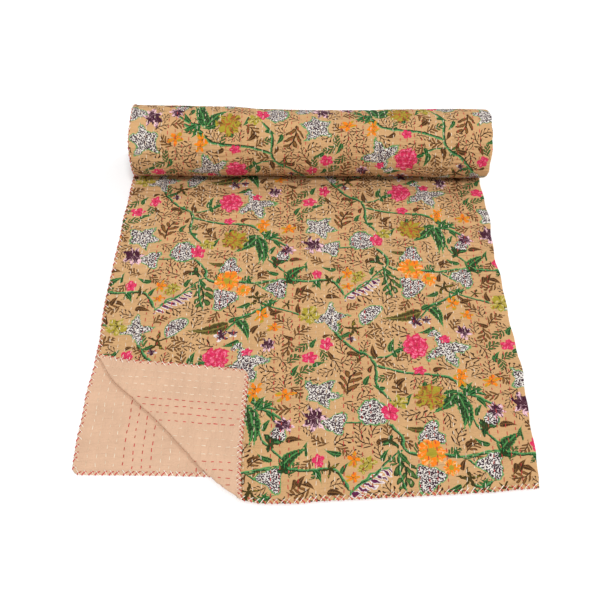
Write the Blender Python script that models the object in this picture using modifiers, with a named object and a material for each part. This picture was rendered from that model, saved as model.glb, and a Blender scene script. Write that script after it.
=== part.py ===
"""Kantha quilt laid out for show: one printed cloth and one plain cloth quilted together,
folded in half lengthwise with the print outside, its far end rolled up towards the front on
top of the flat half, and the front left corner of the upper half turned back.

Metres, +Z up, +X to the right along the roll, +Y from the front hem to the roll. The origin
is the middle of the object's footprint, on the floor.
"""

import math

import bmesh
import bpy
import numpy as np
from mathutils import Vector

# ---- Driving dimensions -------------------------------------------------------------
QUILT_WIDTH = 1.524  # hem to hem, opened out
QUILT_LENGTH = 2.286  # front hem to rolled end
CLOTH = 0.0012  # each cloth, with its share of the quilting's loft
CLOTH_GAP = 0.0003  # between the two cloths
HALVES_GAP = 0.0010  # between the two halves where the quilt is folded
FLAT_LENGTH = 0.770  # front corner at the fold to where the roll touches down
ROLL_HEIGHT = 0.152
ROLL_FLAT_SPOT = 0.985  # the roll's underside is cut off level at this part of its radius
PITCH_BELOW = 0.0082  # from turn to turn under the roll, where its weight closes it up
PITCH_ABOVE = 0.0100  # from turn to turn at the roll's top
ROLL_RIGHT = 0.007  # how far right of the flat half's fold the roll ends
ROLL_LEFT = 0.015  # how far right of the flat half's hem it begins
FRONT_SLANT_BELOW = 0.022  # how far back the lower hem has slipped at the left corner
FRONT_SLANT_ABOVE = -0.046  # how far forward the upper hem has slipped there
LEVEL_BY = 0.640  # the lower hem's slant levels off this far from the lengthwise fold
SLANT_HOLDS = 0.340  # the slant holds this far from the front
SLANT_ENDS = 0.660  # and has gone here
CORNER_CUT = 0.0045  # how far a hemmed corner is rounded off
HEM = 0.016  # width of the band that the rounded corner takes up
TURNED_ALONG_SIDE = 0.300  # turned corner: from its point to the fold, on the side hem
TURNED_ALONG_FRONT = 0.281  # the same on the front hem
TURNED_BACK = 0.878  # the turned corner reaches this part of its mirror image's distance
TURNED_ASIDE = 0.008  # and its point has slid this far along the fold, towards the front
TURN_RADIUS = 0.0021  # of the fold that turns the corner back, at the quilt's middle

# Stations of the mesh
COLUMNS = 7  # across each half, not counting the hem's band
BEND_STEPS = 4  # round the lengthwise fold
TURN_STEPS = 5  # round the turned corner's fold
FLAT_ROWS = 10
ROWS_PER_TURN = 16
PATH_STEPS_PER_TURN = 400

TAU = 2 * math.pi
FOLDED = QUILT_WIDTH / 2  # width of the quilt as folded
EDGE = FOLDED / 2  # x of its side edges
LAYER = 2 * CLOTH + CLOTH_GAP
BEND_RADIUS = (LAYER + HALVES_GAP) / 2  # lengthwise fold, at the quilt's middle
DOUBLED = 2 * BEND_RADIUS + LAYER
BEND_HALF = BEND_RADIUS * math.pi / 2
TURN_ARC = TURN_RADIUS * math.pi
FLAT_ACROSS = FOLDED - BEND_HALF  # width of each half beside the bend
BEND_X = EDGE - BEND_RADIUS - LAYER / 2  # where the lengthwise fold starts to bend
FRONT_SLOPE_ABOVE = FRONT_SLANT_ABOVE / FOLDED

# Soft swells of the upper half: middle (x, s), half sizes (x, s) and height
SWELLS = (
    {"x": -0.26, "s": 0.685, "wide": 0.110, "long": 0.034, "high": 0.0040},
    {"x": 0.03, "s": 0.700, "wide": 0.150, "long": 0.026, "high": 0.0028},
    {"x": 0.27, "s": 0.660, "wide": 0.090, "long": 0.045, "high": 0.0042},
    {"x": 0.16, "s": 0.480, "wide": 0.150, "long": 0.060, "high": 0.0022},
    {"x": -0.12, "s": 0.430, "wide": 0.120, "long": 0.050, "high": 0.0020},
    {"x": 0.22, "s": 0.180, "wide": 0.120, "long": 0.080, "high": 0.0018},
)
# How far right each side edge has drifted, along the length. Past the touch-down the
# rows run round the roll: over its top at 1.0, down its front, under it at 1.24 and in.
SIDE_DRIFT = (
    {"s": 0.00, "fold": -0.005, "hem": 0.003},
    {"s": 0.03, "fold": -0.001, "hem": 0.002},
    {"s": 0.14, "fold": 0.006, "hem": 0.003},
    {"s": 0.28, "fold": 0.006, "hem": 0.004},
    {"s": 0.335, "fold": 0.006, "hem": 0.004},
    {"s": 0.395, "fold": 0.002, "hem": 0.003},
    {"s": 0.48, "fold": 0.002, "hem": 0.001},
    {"s": 0.68, "fold": 0.003, "hem": 0.004},
    {"s": 0.84, "fold": 0.003, "hem": -0.002},
    {"s": 1.00, "fold": -0.004, "hem": 0.001},
    {"s": 1.11, "fold": 0.001, "hem": 0.000},
    {"s": 1.24, "fold": -0.009, "hem": 0.002},
    {"s": 1.46, "fold": 0.001, "hem": 0.006},
    {"s": 1.66, "fold": -0.008, "hem": -0.001},
    {"s": 1.88, "fold": -0.001, "hem": 0.008},
    {"s": 2.08, "fold": -0.010, "hem": 0.003},
    {"s": 2.30, "fold": -0.014, "hem": 0.010},
)
# Waves of the two side edges: how far (metres), how many along the length, and phase
FOLD_WAVES = (
    {"reach": 0.0022, "count": 5.2, "phase": 0.4},
    {"reach": 0.0012, "count": 13.0, "phase": 2.0},
)
HEM_WAVES = (
    {"reach": 0.0012, "count": 4.1, "phase": 1.1},
    {"reach": 0.0007, "count": 11.0, "phase": 0.2},
)
# How far in from a straight line the turned corner's fold lies, along it from the side hem
TURN_BENDS = (
    {"along": 0.000, "inward": 0.010},
    {"along": 0.072, "inward": -0.002},
    {"along": 0.140, "inward": 0.002},
    {"along": 0.200, "inward": 0.003},
    {"along": 0.310, "inward": 0.000},
    {"along": 0.350, "inward": 0.003},
    {"along": 0.400, "inward": 0.010},
)
# How far forward the front hem bows beside the turned corner and at the fold's corner
FRONT_BENDS = (
    {"x": -0.105, "forward": 0.0000},
    {"x": -0.070, "forward": 0.0060},
    {"x": -0.020, "forward": 0.0045},
    {"x": 0.035, "forward": 0.0005},
    {"x": 0.120, "forward": 0.0000},
    {"x": 0.300, "forward": -0.0010},
    {"x": 0.345, "forward": -0.0035},
    {"x": 0.380, "forward": -0.0045},
)
# How far forward the roll lies along its length
ROLL_BENDS = (
    {"x": -0.38, "forward": -0.0038},
    {"x": -0.19, "forward": -0.0024},
    {"x": -0.11, "forward": -0.0051},
    {"x": 0.00, "forward": -0.0040},
    {"x": 0.11, "forward": -0.0044},
    {"x": 0.20, "forward": -0.0040},
    {"x": 0.38, "forward": -0.0022},
)
# How the roll's girth changes from its left end to its right, as a share of its radius
GIRTH = (
    {"x": -0.38, "more": 0.018},
    {"x": -0.26, "more": 0.006},
    {"x": -0.17, "more": -0.010},
    {"x": -0.09, "more": -0.105},
    {"x": 0.11, "more": -0.120},
    {"x": 0.19, "more": -0.075},
    {"x": 0.33, "more": -0.045},
    {"x": 0.39, "more": -0.055},
)

CLOTHS = (
    # side +1 is outside the lengthwise fold, -1 inside it
    {"name": "printed_cloth", "side": 1, "colour": (0.60, 0.40, 0.23), "roughness": 0.85},
    {"name": "plain_backing", "side": -1, "colour": (0.74, 0.54, 0.41), "roughness": 0.88},
)


# ---- The quilt's run from the front hem to the middle of the roll ---------------------
def wound(angle):
    """Turns wound at an angle round the roll, starting without a kink."""
    ease = 3.0
    return (angle - (1.0 - np.exp(-ease * angle)) / ease) / TAU


def flattened(cosine):
    """A cosine cut off softly near 1, which gives the roll its flat underside."""
    soft = 0.02
    return ROLL_FLAT_SPOT - soft * np.logaddexp(0.0, (ROLL_FLAT_SPOT - cosine) / soft)


def roll_curve(angle):
    """Places (y, z) on the doubled quilt's middle, from the touch-down at angle 0, round
    the back and over the top. Turns close up below and stand apart above."""
    first = ROLL_HEIGHT - DOUBLED + PITCH_ABOVE * wound(math.pi)
    first = first / (1.0 + flattened(1.0))
    radius = first - (PITCH_BELOW + PITCH_ABOVE) / 2 * wound(angle)
    centre = DOUBLED / 2 + first * flattened(1.0)
    centre = centre - (PITCH_ABOVE - PITCH_BELOW) / 2 * wound(angle)
    y = FLAT_LENGTH + radius * np.sin(angle)
    return y, centre - radius * flattened(np.cos(angle))


def run_tables():
    """The whole run as tables of length, y, z, direction and roll angle."""
    angle = np.linspace(0.0, 6.5 * TAU, int(6.5 * PATH_STEPS_PER_TURN) + 1)
    y, z = roll_curve(angle)
    s = FLAT_LENGTH + np.r_[0.0, np.cumsum(np.hypot(np.diff(y), np.diff(z)))]
    heading = np.unwrap(np.arctan2(np.gradient(z), np.gradient(y)))
    heading -= heading[0]
    lead = np.linspace(-0.2, FLAT_LENGTH - 1e-6, 3)
    flat = np.zeros_like(lead)
    return {
        "s": np.r_[lead, s],
        "y": np.r_[lead, y],
        "z": np.r_[flat + DOUBLED / 2, z],
        "heading": np.r_[flat, heading],
        "angle": np.r_[flat, angle],
    }


RUN = run_tables()


def on_run(s, what):
    return np.interp(s, RUN["s"], RUN[what])


# ---- The two side edges and the front hem ---------------------------------------------
def waves(table, s):
    return sum(w["reach"] * np.sin(TAU * w["count"] * s + w["phase"]) for w in table)


def eased(share):
    """0 below 0, 1 above 1, and a soft step between them."""
    share = np.clip(share, 0.0, 1.0)
    return share * share * (3.0 - 2.0 * share)


def read(table, key, column, at):
    """A table's column at any value of its key, passing softly from row to row."""
    keys = np.array([row[key] for row in table])
    values = np.array([row[column] for row in table])
    share = np.interp(at, keys, np.arange(len(keys)))
    row = np.minimum(share.astype(int), len(keys) - 2)
    return values[row] + (values[row + 1] - values[row]) * eased(share - row)


def in_roll(s):
    """0 on the flat part, rising softly to 1 in the roll."""
    return eased((s - FLAT_LENGTH + 0.03) / 0.12)


def past_corner(s):
    """0 as far back as the turned corner reaches, then rising softly to 1."""
    return eased((s - SLANT_HOLDS) / (SLANT_ENDS - SLANT_HOLDS))


def fold_edge(s):
    """x where the lengthwise fold starts to bend."""
    drift = read(SIDE_DRIFT, "s", "fold", s) + waves(FOLD_WAVES, s)
    return BEND_X + ROLL_RIGHT * in_roll(s) + drift


def hem_edge(s, upper):
    """x of the side hems. The upper one stays straight where the corner turns back."""
    drift = read(SIDE_DRIFT, "s", "hem", s) + waves(HEM_WAVES, s)
    return -EDGE + ROLL_LEFT * in_roll(s) + drift * np.where(upper, past_corner(s), 1.0)


def front_slant(x, s, upper):
    """How far back along the length the slanting and bowed front hem has drawn the cloth."""
    forward = read(FRONT_BENDS, "x", "forward", x)
    below = FRONT_SLANT_BELOW * eased((EDGE - x) / LEVEL_BY) - np.minimum(forward, 0.0)
    above = (EDGE - x) * FRONT_SLOPE_ABOVE - forward
    return np.where(upper, above, below) * (1.0 - past_corner(s))


def swell(x, s):
    """Height of the upper half's soft swells, none at the lengthwise fold."""
    high = sum(
        w["high"] * np.exp(-(((x - w["x"]) / w["wide"]) ** 2) - ((s - w["s"]) / w["long"]) ** 2)
        for w in SWELLS
    )
    from_fold = np.clip((fold_edge(s) - x) / 0.05, 0.0, 1.0)
    before_roll = np.clip((FLAT_LENGTH - s - 0.015) / 0.04, 0.0, 1.0)
    return high * from_fold * before_roll


# ---- The turned-back corner ------------------------------------------------------------
def turn_line():
    """The turned corner's fold: its start on the side hem, its direction, the direction
    towards the corner, and the corner's own place along the two."""
    corner = np.array([-EDGE, FRONT_SLANT_ABOVE])
    on_side = corner + (0.0, TURNED_ALONG_SIDE)
    on_front = corner + (TURNED_ALONG_FRONT, -FRONT_SLOPE_ABOVE * TURNED_ALONG_FRONT)
    along = (on_front - on_side) / np.linalg.norm(on_front - on_side)
    outward = np.array([along[1], -along[0]])
    if outward @ (corner - on_side) < 0:
        outward = -outward
    return on_side, along, outward, outward @ (corner - on_side)


TURN_START, TURN_ALONG, TURN_OUT, CORNER_OUT = turn_line()


def past_turn(x, s):
    """Distance past the line where the upper half starts to turn back."""
    return (x - TURN_START[0]) * TURN_OUT[0] + (s - TURN_START[1]) * TURN_OUT[1]


def turned(x, s, m):
    """Plan place and height over the quilt's middle once the corner is turned back: level
    up to the fold, half a circle, then back over itself a little short and aside."""
    out = past_turn(x, s)
    along = (x - TURN_START[0]) * TURN_ALONG[0] + (s - TURN_START[1]) * TURN_ALONG[1]
    offset = m - BEND_RADIUS
    arc = np.clip(out, 0.0, TURN_ARC) / TURN_RADIUS
    back = np.maximum(out - TURN_ARC, 0.0)
    radius = TURN_RADIUS - offset
    aside = TURNED_ASIDE * back / CORNER_OUT
    belly = 0.0030 * np.sin(math.pi * np.clip(back / CORNER_OUT, 0.0, 1.0))
    new_out = np.minimum(out, 0.0) + radius * np.sin(arc) - TURNED_BACK * back
    new_m = BEND_RADIUS + TURN_RADIUS - radius * np.cos(arc) + belly
    new_x = TURN_START[0] + TURN_OUT[0] * new_out + TURN_ALONG[0] * (along + aside)
    new_s = TURN_START[1] + TURN_OUT[1] * new_out + TURN_ALONG[1] * (along + aside)
    past = out > 0.0
    return np.where(past, new_x, x), np.where(past, new_s, s), np.where(past, new_m, m)


def drawn_in(x, s):
    """How far the cloth near the turned corner's fold has been drawn in from its straight
    line, dying away to both sides of it."""
    along = (x - TURN_START[0]) * TURN_ALONG[0] + (s - TURN_START[1]) * TURN_ALONG[1]
    beside = np.exp(-((past_turn(x, s) / 0.055) ** 2))
    return read(TURN_BENDS, "along", "inward", along) * beside


# ---- From the quilt laid open to its folded and rolled place ----------------------------
def girth(x, s):
    """Share by which the roll is fatter or thinner here, none on the floor."""
    return read(GIRTH, "x", "more", x) * (1.0 - np.cos(on_run(s, "angle"))) / 2


def place(c, s, offset):
    """Folded place of the points at c across the quilt (negative on the lower half, 0 on
    the lengthwise fold) and s along it, offset from its middle towards the print."""
    upper = c > BEND_HALF
    share = np.clip((np.abs(c) - BEND_HALF) / FLAT_ACROSS, 0.0, 1.0)
    edge = fold_edge(s)
    hem = hem_edge(s, upper)
    bend = np.clip(c / BEND_RADIUS, -math.pi / 2, math.pi / 2)
    radius = BEND_RADIUS + offset
    x = edge + (hem - edge) * share + radius * np.cos(bend)
    m = radius * np.sin(bend)
    s = s + front_slant(x, s, c > 0.0)
    turned_x, turned_s, turned_m = turned(x, s, m)
    corner = upper & (past_turn(x, s) > 0.0)
    m = np.where(upper, m + swell(x, s), m)
    x = np.where(corner, turned_x, x)
    s = np.where(corner, turned_s, s)
    m = np.where(corner, turned_m, m)
    inward = np.where(upper, drawn_in(x, s), 0.0)
    x, s = x - TURN_OUT[0] * inward, s - TURN_OUT[1] * inward
    heading = on_run(s, "heading")
    forward = read(ROLL_BENDS, "x", "forward", x) * eased(s / FLAT_LENGTH)
    y = on_run(s, "y") - m * np.sin(heading)
    z = on_run(s, "z") + m * np.cos(heading)
    middle = ROLL_HEIGHT / 2
    y = np.where(s > FLAT_LENGTH, FLAT_LENGTH + (y - FLAT_LENGTH) * (1.0 + girth(x, s)), y)
    z = np.where(s > FLAT_LENGTH, middle + (z - middle) * (1.0 + girth(x, s)), z)
    return np.stack([x, y - forward, z], axis=-1)


# ---- Building ---------------------------------------------------------------------------
def stations():
    """Where the mesh has its columns (c) and rows (s)."""
    half = np.r_[np.linspace(BEND_HALF, FOLDED - HEM, COLUMNS + 1), FOLDED]
    bend = np.linspace(-BEND_HALF, BEND_HALF, BEND_STEPS + 1)[1:-1]
    flat = np.r_[0.0, np.linspace(HEM, FLAT_LENGTH, FLAT_ROWS + 1)]
    last = np.interp(QUILT_LENGTH, RUN["s"], RUN["angle"])
    step = TAU / ROWS_PER_TURN
    angles = np.arange(1, int(last / step + 0.6)) * step
    rolled = np.interp(angles, RUN["angle"], RUN["s"])
    return np.r_[-half[::-1], bend, half], np.r_[flat, rolled, QUILT_LENGTH]


def round_corner(c, s):
    """Draws the two corners of the front hem in a little."""
    blunt = (s == 0.0) & (np.abs(c) == FOLDED)
    c = np.where(blunt, c - np.sign(c) * CORNER_CUT, c)
    return c, np.where(blunt, CORNER_CUT, s)


def open_cloth(columns, rows):
    """The cloth laid open as a grid, with extra lines along the turned corner's fold."""
    mesh = bmesh.new()
    bmesh.ops.create_grid(
        mesh, x_segments=len(columns) - 1, y_segments=len(rows) - 1, size=0.5
    )
    for vertex in mesh.verts:
        column = round((vertex.co.x + 0.5) * (len(columns) - 1))
        row = round((vertex.co.y + 0.5) * (len(rows) - 1))
        vertex.co = (columns[column], rows[row], 0.0)
    # On the open cloth x runs the other way, a little wider, and the hem doesn't slant
    wider = FLAT_ACROSS / (BEND_X + EDGE)
    across = -(TURN_OUT[0] - FRONT_SLOPE_ABOVE * TURN_OUT[1]) / wider
    for step in range(TURN_STEPS + 1):
        on_hem = TURN_START[1] - FRONT_SLANT_ABOVE
        on_hem += TURN_ARC * step / TURN_STEPS / TURN_OUT[1]
        bmesh.ops.bisect_plane(
            mesh,
            geom=mesh.verts[:] + mesh.edges[:] + mesh.faces[:],
            dist=1e-6,
            plane_co=(FOLDED, on_hem, 0.0),
            plane_no=(across, TURN_OUT[1], 0.0),
        )
    return mesh


def make_cloth(name, side, colour, roughness, columns, rows):
    """One cloth: its face next to the other cloth follows the quilt, and Solidify gives
    it its thickness on the far side."""
    grid = open_cloth(columns, rows)
    laid = np.array([vertex.co[:2] for vertex in grid.verts])
    c, s = round_corner(laid[:, 0], laid[:, 1])
    for vertex, point in zip(grid.verts, place(c, s, side * CLOTH_GAP / 2)):
        vertex.co = point
    bmesh.ops.triangulate(grid, faces=grid.faces[:], quad_method="SHORT_EDGE")
    mesh = bpy.data.meshes.new(name)
    grid.to_mesh(mesh)
    grid.free()
    cloth = bpy.data.objects.new(name, mesh)
    thick = cloth.modifiers.new("Thickness", "SOLIDIFY")
    thick.thickness = CLOTH
    thick.offset = -side  # the open cloth's faces look away from the print
    thick.use_even_offset = True
    mesh.materials.append(make_material(name, colour, roughness))
    return cloth


def make_material(name, colour, roughness):
    material = bpy.data.materials.new(name)
    material.use_nodes = True
    shader = material.node_tree.nodes["Principled BSDF"]
    shader.inputs["Base Color"].default_value = (*colour, 1.0)
    shader.inputs["Roughness"].default_value = roughness
    shader.inputs["Metallic"].default_value = 0.0
    return material


def centre_on_origin(objects):
    """Moves the meshes so that the middle of their footprint is at the origin."""
    graph = bpy.context.evaluated_depsgraph_get()
    corners = [v.co for o in objects for v in o.evaluated_get(graph).to_mesh().vertices]
    corners = np.array(corners)
    low, high = corners.min(axis=0), corners.max(axis=0)
    shift = ((low[0] + high[0]) / 2, (low[1] + high[1]) / 2, low[2])
    for item in objects:
        for vertex in item.data.vertices:
            vertex.co = vertex.co - Vector(shift)


def main():
    for old in list(bpy.data.objects):
        bpy.data.objects.remove(old)
    quilt = bpy.data.collections.new("kantha_quilt")
    bpy.context.scene.collection.children.link(quilt)
    columns, rows = stations()
    cloths = [make_cloth(columns=columns, rows=rows, **cloth) for cloth in CLOTHS]
    for cloth in cloths:
        quilt.objects.link(cloth)
    centre_on_origin(cloths)


if __name__ == "__main__":
    main()
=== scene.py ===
"""Kantha quilt folded in half lengthwise, its far end rolled up and one front corner turned
back: the dressed cloths, the running stitches and the stitches over the hems.

Metres, +Z up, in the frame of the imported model. Cloth coordinates are c across the quilt, 0 on
the lengthwise fold and positive on the upper half, and s along it from the front hem.
"""

import math

import bmesh
import bpy
import numpy as np
from bpy.props import FloatProperty, FloatVectorProperty, PointerProperty
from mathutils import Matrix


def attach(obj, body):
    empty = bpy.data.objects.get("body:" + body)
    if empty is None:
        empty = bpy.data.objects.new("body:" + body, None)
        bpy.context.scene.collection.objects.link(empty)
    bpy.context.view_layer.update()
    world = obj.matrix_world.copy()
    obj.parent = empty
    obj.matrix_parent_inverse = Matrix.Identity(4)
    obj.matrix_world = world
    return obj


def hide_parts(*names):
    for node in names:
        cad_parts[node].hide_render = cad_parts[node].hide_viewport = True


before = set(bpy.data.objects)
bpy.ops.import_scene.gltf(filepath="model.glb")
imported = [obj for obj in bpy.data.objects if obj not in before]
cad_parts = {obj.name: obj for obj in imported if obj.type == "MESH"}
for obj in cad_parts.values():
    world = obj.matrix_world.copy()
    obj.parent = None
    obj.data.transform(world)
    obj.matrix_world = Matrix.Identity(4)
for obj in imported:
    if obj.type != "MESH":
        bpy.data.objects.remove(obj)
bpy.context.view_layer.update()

bl_info = {
    "name": "Kantha Quilt",
    "version": (1, 0, 0),
    "blender": (4, 5, 0),
    "location": "View3D > Sidebar > Quilt",
    "description": "Dresses a folded and rolled kantha quilt with its cloths and stitches",
    "category": "Object",
}

# ---- Sizes of the folded quilt, as the solids have them --------------------------------------
QUILT_WIDTH = 1.524  # hem to hem, opened out
QUILT_LENGTH = 2.286  # front hem to rolled end
CLOTH = 0.0012  # each cloth, with its share of the quilting's loft
CLOTH_GAP = 0.0003  # between the two cloths
HALVES_GAP = 0.0010  # between the two halves where the quilt is folded
FLAT_LENGTH = 0.770  # front corner at the fold to where the roll touches down
ROLL_HEIGHT = 0.152
ROLL_FLAT_SPOT = 0.985  # the roll's underside is cut off level at this part of its radius
PITCH_BELOW = 0.0082  # from turn to turn under the roll, where its weight closes it up
PITCH_ABOVE = 0.0100  # from turn to turn at the roll's top
ROLL_RIGHT = 0.007  # how far right of the flat half's fold the roll ends
ROLL_LEFT = 0.015  # how far right of the flat half's hem it begins
FRONT_SLANT_BELOW = 0.022  # how far back the lower hem has slipped at the left corner
FRONT_SLANT_ABOVE = -0.046  # how far forward the upper hem has slipped there
LEVEL_BY = 0.640  # the lower hem's slant levels off this far from the lengthwise fold
SLANT_HOLDS = 0.340  # the slant holds this far from the front
SLANT_ENDS = 0.660  # and has gone here
TURNED_ALONG_SIDE = 0.300  # turned corner: from its point to the fold, on the side hem
TURNED_ALONG_FRONT = 0.281  # the same on the front hem
TURNED_BACK = 0.878  # the turned corner reaches this part of its mirror image's distance
TURNED_ASIDE = 0.008  # and its point has slid this far along the fold, to the front
TURN_RADIUS = 0.0021  # of the fold that turns the corner back, at the quilt's middle
TURN_BELLY = 0.0030  # how high the turned corner bulges
MIDDLE = np.array([0.00603, 0.41258, 0.0])  # of the solids' footprint, in run coordinates

TAU = 2 * math.pi
FOLDED = QUILT_WIDTH / 2  # width of the quilt as folded
EDGE = FOLDED / 2  # x of its side edges
LAYER = 2 * CLOTH + CLOTH_GAP
HALF_LAYER = LAYER / 2
BEND_RADIUS = (LAYER + HALVES_GAP) / 2  # lengthwise fold, at the quilt's middle
DOUBLED = 2 * BEND_RADIUS + LAYER
BEND_HALF = BEND_RADIUS * math.pi / 2
TURN_ARC = TURN_RADIUS * math.pi
FLAT_ACROSS = FOLDED - BEND_HALF  # width of each half beside the bend
BEND_X = EDGE - BEND_RADIUS - LAYER / 2  # where the lengthwise fold starts to bend
FRONT_SLOPE_ABOVE = FRONT_SLANT_ABOVE / FOLDED


def named_columns(names, *rows):
    """A short table as its columns."""
    return dict(zip(names.split(), np.array(rows).T))


# Soft swells of the flat upper half: middle (x, s), half sizes (x, s) and height.
SWELLS = (
    (-0.26, 0.685, 0.110, 0.034, 0.0040),
    (0.03, 0.700, 0.150, 0.026, 0.0028),
    (0.27, 0.660, 0.090, 0.045, 0.0042),
    (0.16, 0.480, 0.150, 0.060, 0.0022),
    (-0.12, 0.430, 0.120, 0.050, 0.0020),
    (0.22, 0.180, 0.120, 0.080, 0.0018),
)
# Small waves of the two long edges: reach, waves a metre, phase.
FOLD_WAVES = ((0.0022, 5.2, 0.4), (0.0012, 13.0, 2.0))
HEM_WAVES = ((0.0012, 4.1, 1.1), (0.0007, 11.0, 0.2))
# How far the lengthwise fold and the side hems drift to the right.
SIDE_DRIFT = named_columns(
    "s fold hem",
    (0.00, -0.005, 0.003), (0.03, -0.001, 0.002), (0.14, 0.006, 0.003), (0.28, 0.006, 0.004),
    (0.335, 0.006, 0.004), (0.395, 0.002, 0.003), (0.48, 0.002, 0.001), (0.68, 0.003, 0.004),
    (0.84, 0.003, -0.002), (1.00, -0.004, 0.001), (1.11, 0.001, 0.000), (1.24, -0.009, 0.002),
    (1.46, 0.001, 0.006), (1.66, -0.008, -0.001), (1.88, -0.001, 0.008), (2.08, -0.010, 0.003),
    (2.30, -0.014, 0.010),
)
# How far the turned corner's fold is drawn in from a straight line, along it. The cloth
# beside it moves too, less and less over this width.
TURN_BENDS_WIDTH = 0.055
TURN_BENDS = named_columns(
    "along inward",
    (0.000, 0.010), (0.072, -0.002), (0.140, 0.002), (0.200, 0.003), (0.310, 0.000),
    (0.350, 0.003), (0.400, 0.010),
)
# How far forward the front hem bends.
FRONT_BENDS = named_columns(
    "x forward",
    (-0.105, 0.0000), (-0.070, 0.0060), (-0.020, 0.0045), (0.035, 0.0005), (0.120, 0.0000),
    (0.300, -0.0010), (0.345, -0.0035), (0.380, -0.0045),
)
# How far forward the roll bends.
ROLL_BENDS = named_columns(
    "x forward",
    (-0.38, -0.0038), (-0.19, -0.0024), (-0.11, -0.0051), (0.00, -0.0040), (0.11, -0.0044),
    (0.20, -0.0040), (0.38, -0.0022),
)
# How much thicker the roll is, as a share.
GIRTH = named_columns(
    "x more",
    (-0.38, 0.018), (-0.26, 0.006), (-0.17, -0.010), (-0.09, -0.105), (0.11, -0.120),
    (0.19, -0.075), (0.33, -0.045), (0.39, -0.055),
)

# ---- Sizes of the sewing, and of the uneven surface that it makes ----------------------------
FIRST_ROW = 0.0215  # first row of running stitches, from the side hem
ROW_GAP = 0.0152
ROWS = 48  # on each half
ROWS_TOGETHER = 4  # rows of one thread colour side by side
STITCH_PITCH = 0.0140
STITCHES = 165  # in a row, over the whole length
HEM_PITCH = 0.0132
FRONT_PITCH = 0.0110
HEM_REACH = 0.0085  # how far in from the edge the hem stitches bite
TWIST_LENGTH = 0.0016  # of the sewing thread
THREAD_SIDES = 5
WANDER = 0.0011  # how far a row strays
WANDER_LENGTH = 0.11
CORNER_RADIUS = 0.015  # of the front hem's corners
EDGE_ROUNDED = 0.0022  # how far in the hems are rounded
CALM_EDGE = 0.012  # how far in the surface is less uneven
HEM_BITE = 0.00035  # how deep the hem stitches press the cloth
HEM_BITE_WIDTH = 0.0016
TROUGH_WIDTH = 0.0026
TROUGH_ENDS = 0.0018  # how much longer than its stitch a trough is, at each end
# Lengths across and along the rows over which the surface changes.
PUFFS = (0.0085, 0.0075)
RIPPLES = (0.048, 0.0068)
FINE_RIPPLES = (0.021, 0.0049)
SLOW_WAVES = (0.13, 0.052)

# ---- Steps of the cloths' meshes -------------------------------------------------------------
MESH_STEP = 0.0041  # where a cloth shows
COARSE_STEP = 0.0080
HIDDEN_STEP = 0.045
SHOWN_PER_TURN = 110  # rows to a turn of the roll where it shows
HIDDEN_PER_TURN = 48
HEM_STATIONS = np.array([0.0, 0.0003, 0.0009, 0.0018, 0.0030, 0.0055])  # round the edge off
PAST_HEM = 0.0085  # from the edge to the first even station
LAST_SHOWN = 1.33  # the roll's outer turn has gone under the next by here
# Where one band of rows ends and the next one begins, with triangles between them.
BEFORE_ROLL = (0.742, 0.746)
UNDER_ROLL = (0.800, 0.805)
PAST_TURN = (0.344, 0.352)


# ---- The quilt's run from the front hem to the middle of the roll ----------------------------
def wound(angle):
    """Turns wound at an angle round the roll, starting without a kink."""
    ease = 3.0
    return (angle - (1.0 - np.exp(-ease * angle)) / ease) / TAU


def flattened(cosine):
    """A cosine cut off softly near 1, which gives the roll its flat underside."""
    soft = 0.02
    return ROLL_FLAT_SPOT - soft * np.logaddexp(0.0, (ROLL_FLAT_SPOT - cosine) / soft)


def roll_curve(angle):
    """(y, z) on the doubled quilt's middle: a spiral whose radius shrinks by the pitch each
    turn, from the touch-down at angle 0, round the back and over the top."""
    first = ROLL_HEIGHT - DOUBLED + PITCH_ABOVE * wound(math.pi)
    first = first / (1.0 + flattened(1.0))
    radius = first - (PITCH_BELOW + PITCH_ABOVE) / 2 * wound(angle)
    centre = DOUBLED / 2 + first * flattened(1.0)
    centre = centre - (PITCH_ABOVE - PITCH_BELOW) / 2 * wound(angle)
    y = FLAT_LENGTH + radius * np.sin(angle)
    return y, centre - radius * flattened(np.cos(angle))


def run_tables():
    """The whole run as tables of length, y, z, direction and roll angle."""
    turns, per_turn = 6.5, 400
    angle = np.linspace(0.0, turns * TAU, int(turns * per_turn) + 1)
    y, z = roll_curve(angle)
    s = FLAT_LENGTH + np.r_[0.0, np.cumsum(np.hypot(np.diff(y), np.diff(z)))]
    heading = np.unwrap(np.arctan2(np.gradient(z), np.gradient(y)))
    heading -= heading[0]
    lead = np.linspace(-0.2, FLAT_LENGTH - 1e-6, 3)
    flat = np.zeros_like(lead)
    return {
        "s": np.r_[lead, s],
        "y": np.r_[lead, y],
        "z": np.r_[flat + DOUBLED / 2, z],
        "heading": np.r_[flat, heading],
        "angle": np.r_[flat, angle],
    }


RUN = run_tables()


def on_run(s, what):
    """A column of the run's tables at any length."""
    return np.interp(s, RUN["s"], RUN[what])


def waves(table, s):
    """Sum of sines along a length."""
    return sum(reach * np.sin(TAU * count * s + phase) for reach, count, phase in table)


def eased(share):
    """0 below 0, 1 above 1, and a soft step between them."""
    share = np.clip(share, 0.0, 1.0)
    return share * share * (3.0 - 2.0 * share)


def read(table, key, column, at):
    """A table's column at any value of its key, passing softly from row to row."""
    keys, values = table[key], table[column]
    share = np.interp(at, keys, np.arange(len(keys)))
    row = np.minimum(share.astype(int), len(keys) - 2)
    return values[row] + (values[row + 1] - values[row]) * eased(share - row)


def past_corner(s):
    """0 beside the turned corner, and 1 further on, where both halves run true."""
    return eased((s - SLANT_HOLDS) / (SLANT_ENDS - SLANT_HOLDS))


def in_roll(s):
    """0 on the flat half and 1 in the roll."""
    return eased((s - FLAT_LENGTH + 0.03) / 0.12)


def fold_edge(s):
    """x of the lengthwise fold: straight, set aside in the roll, with drift and waves."""
    drift = read(SIDE_DRIFT, "s", "fold", s) + waves(FOLD_WAVES, s)
    return BEND_X + ROLL_RIGHT * in_roll(s) + drift


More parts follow.
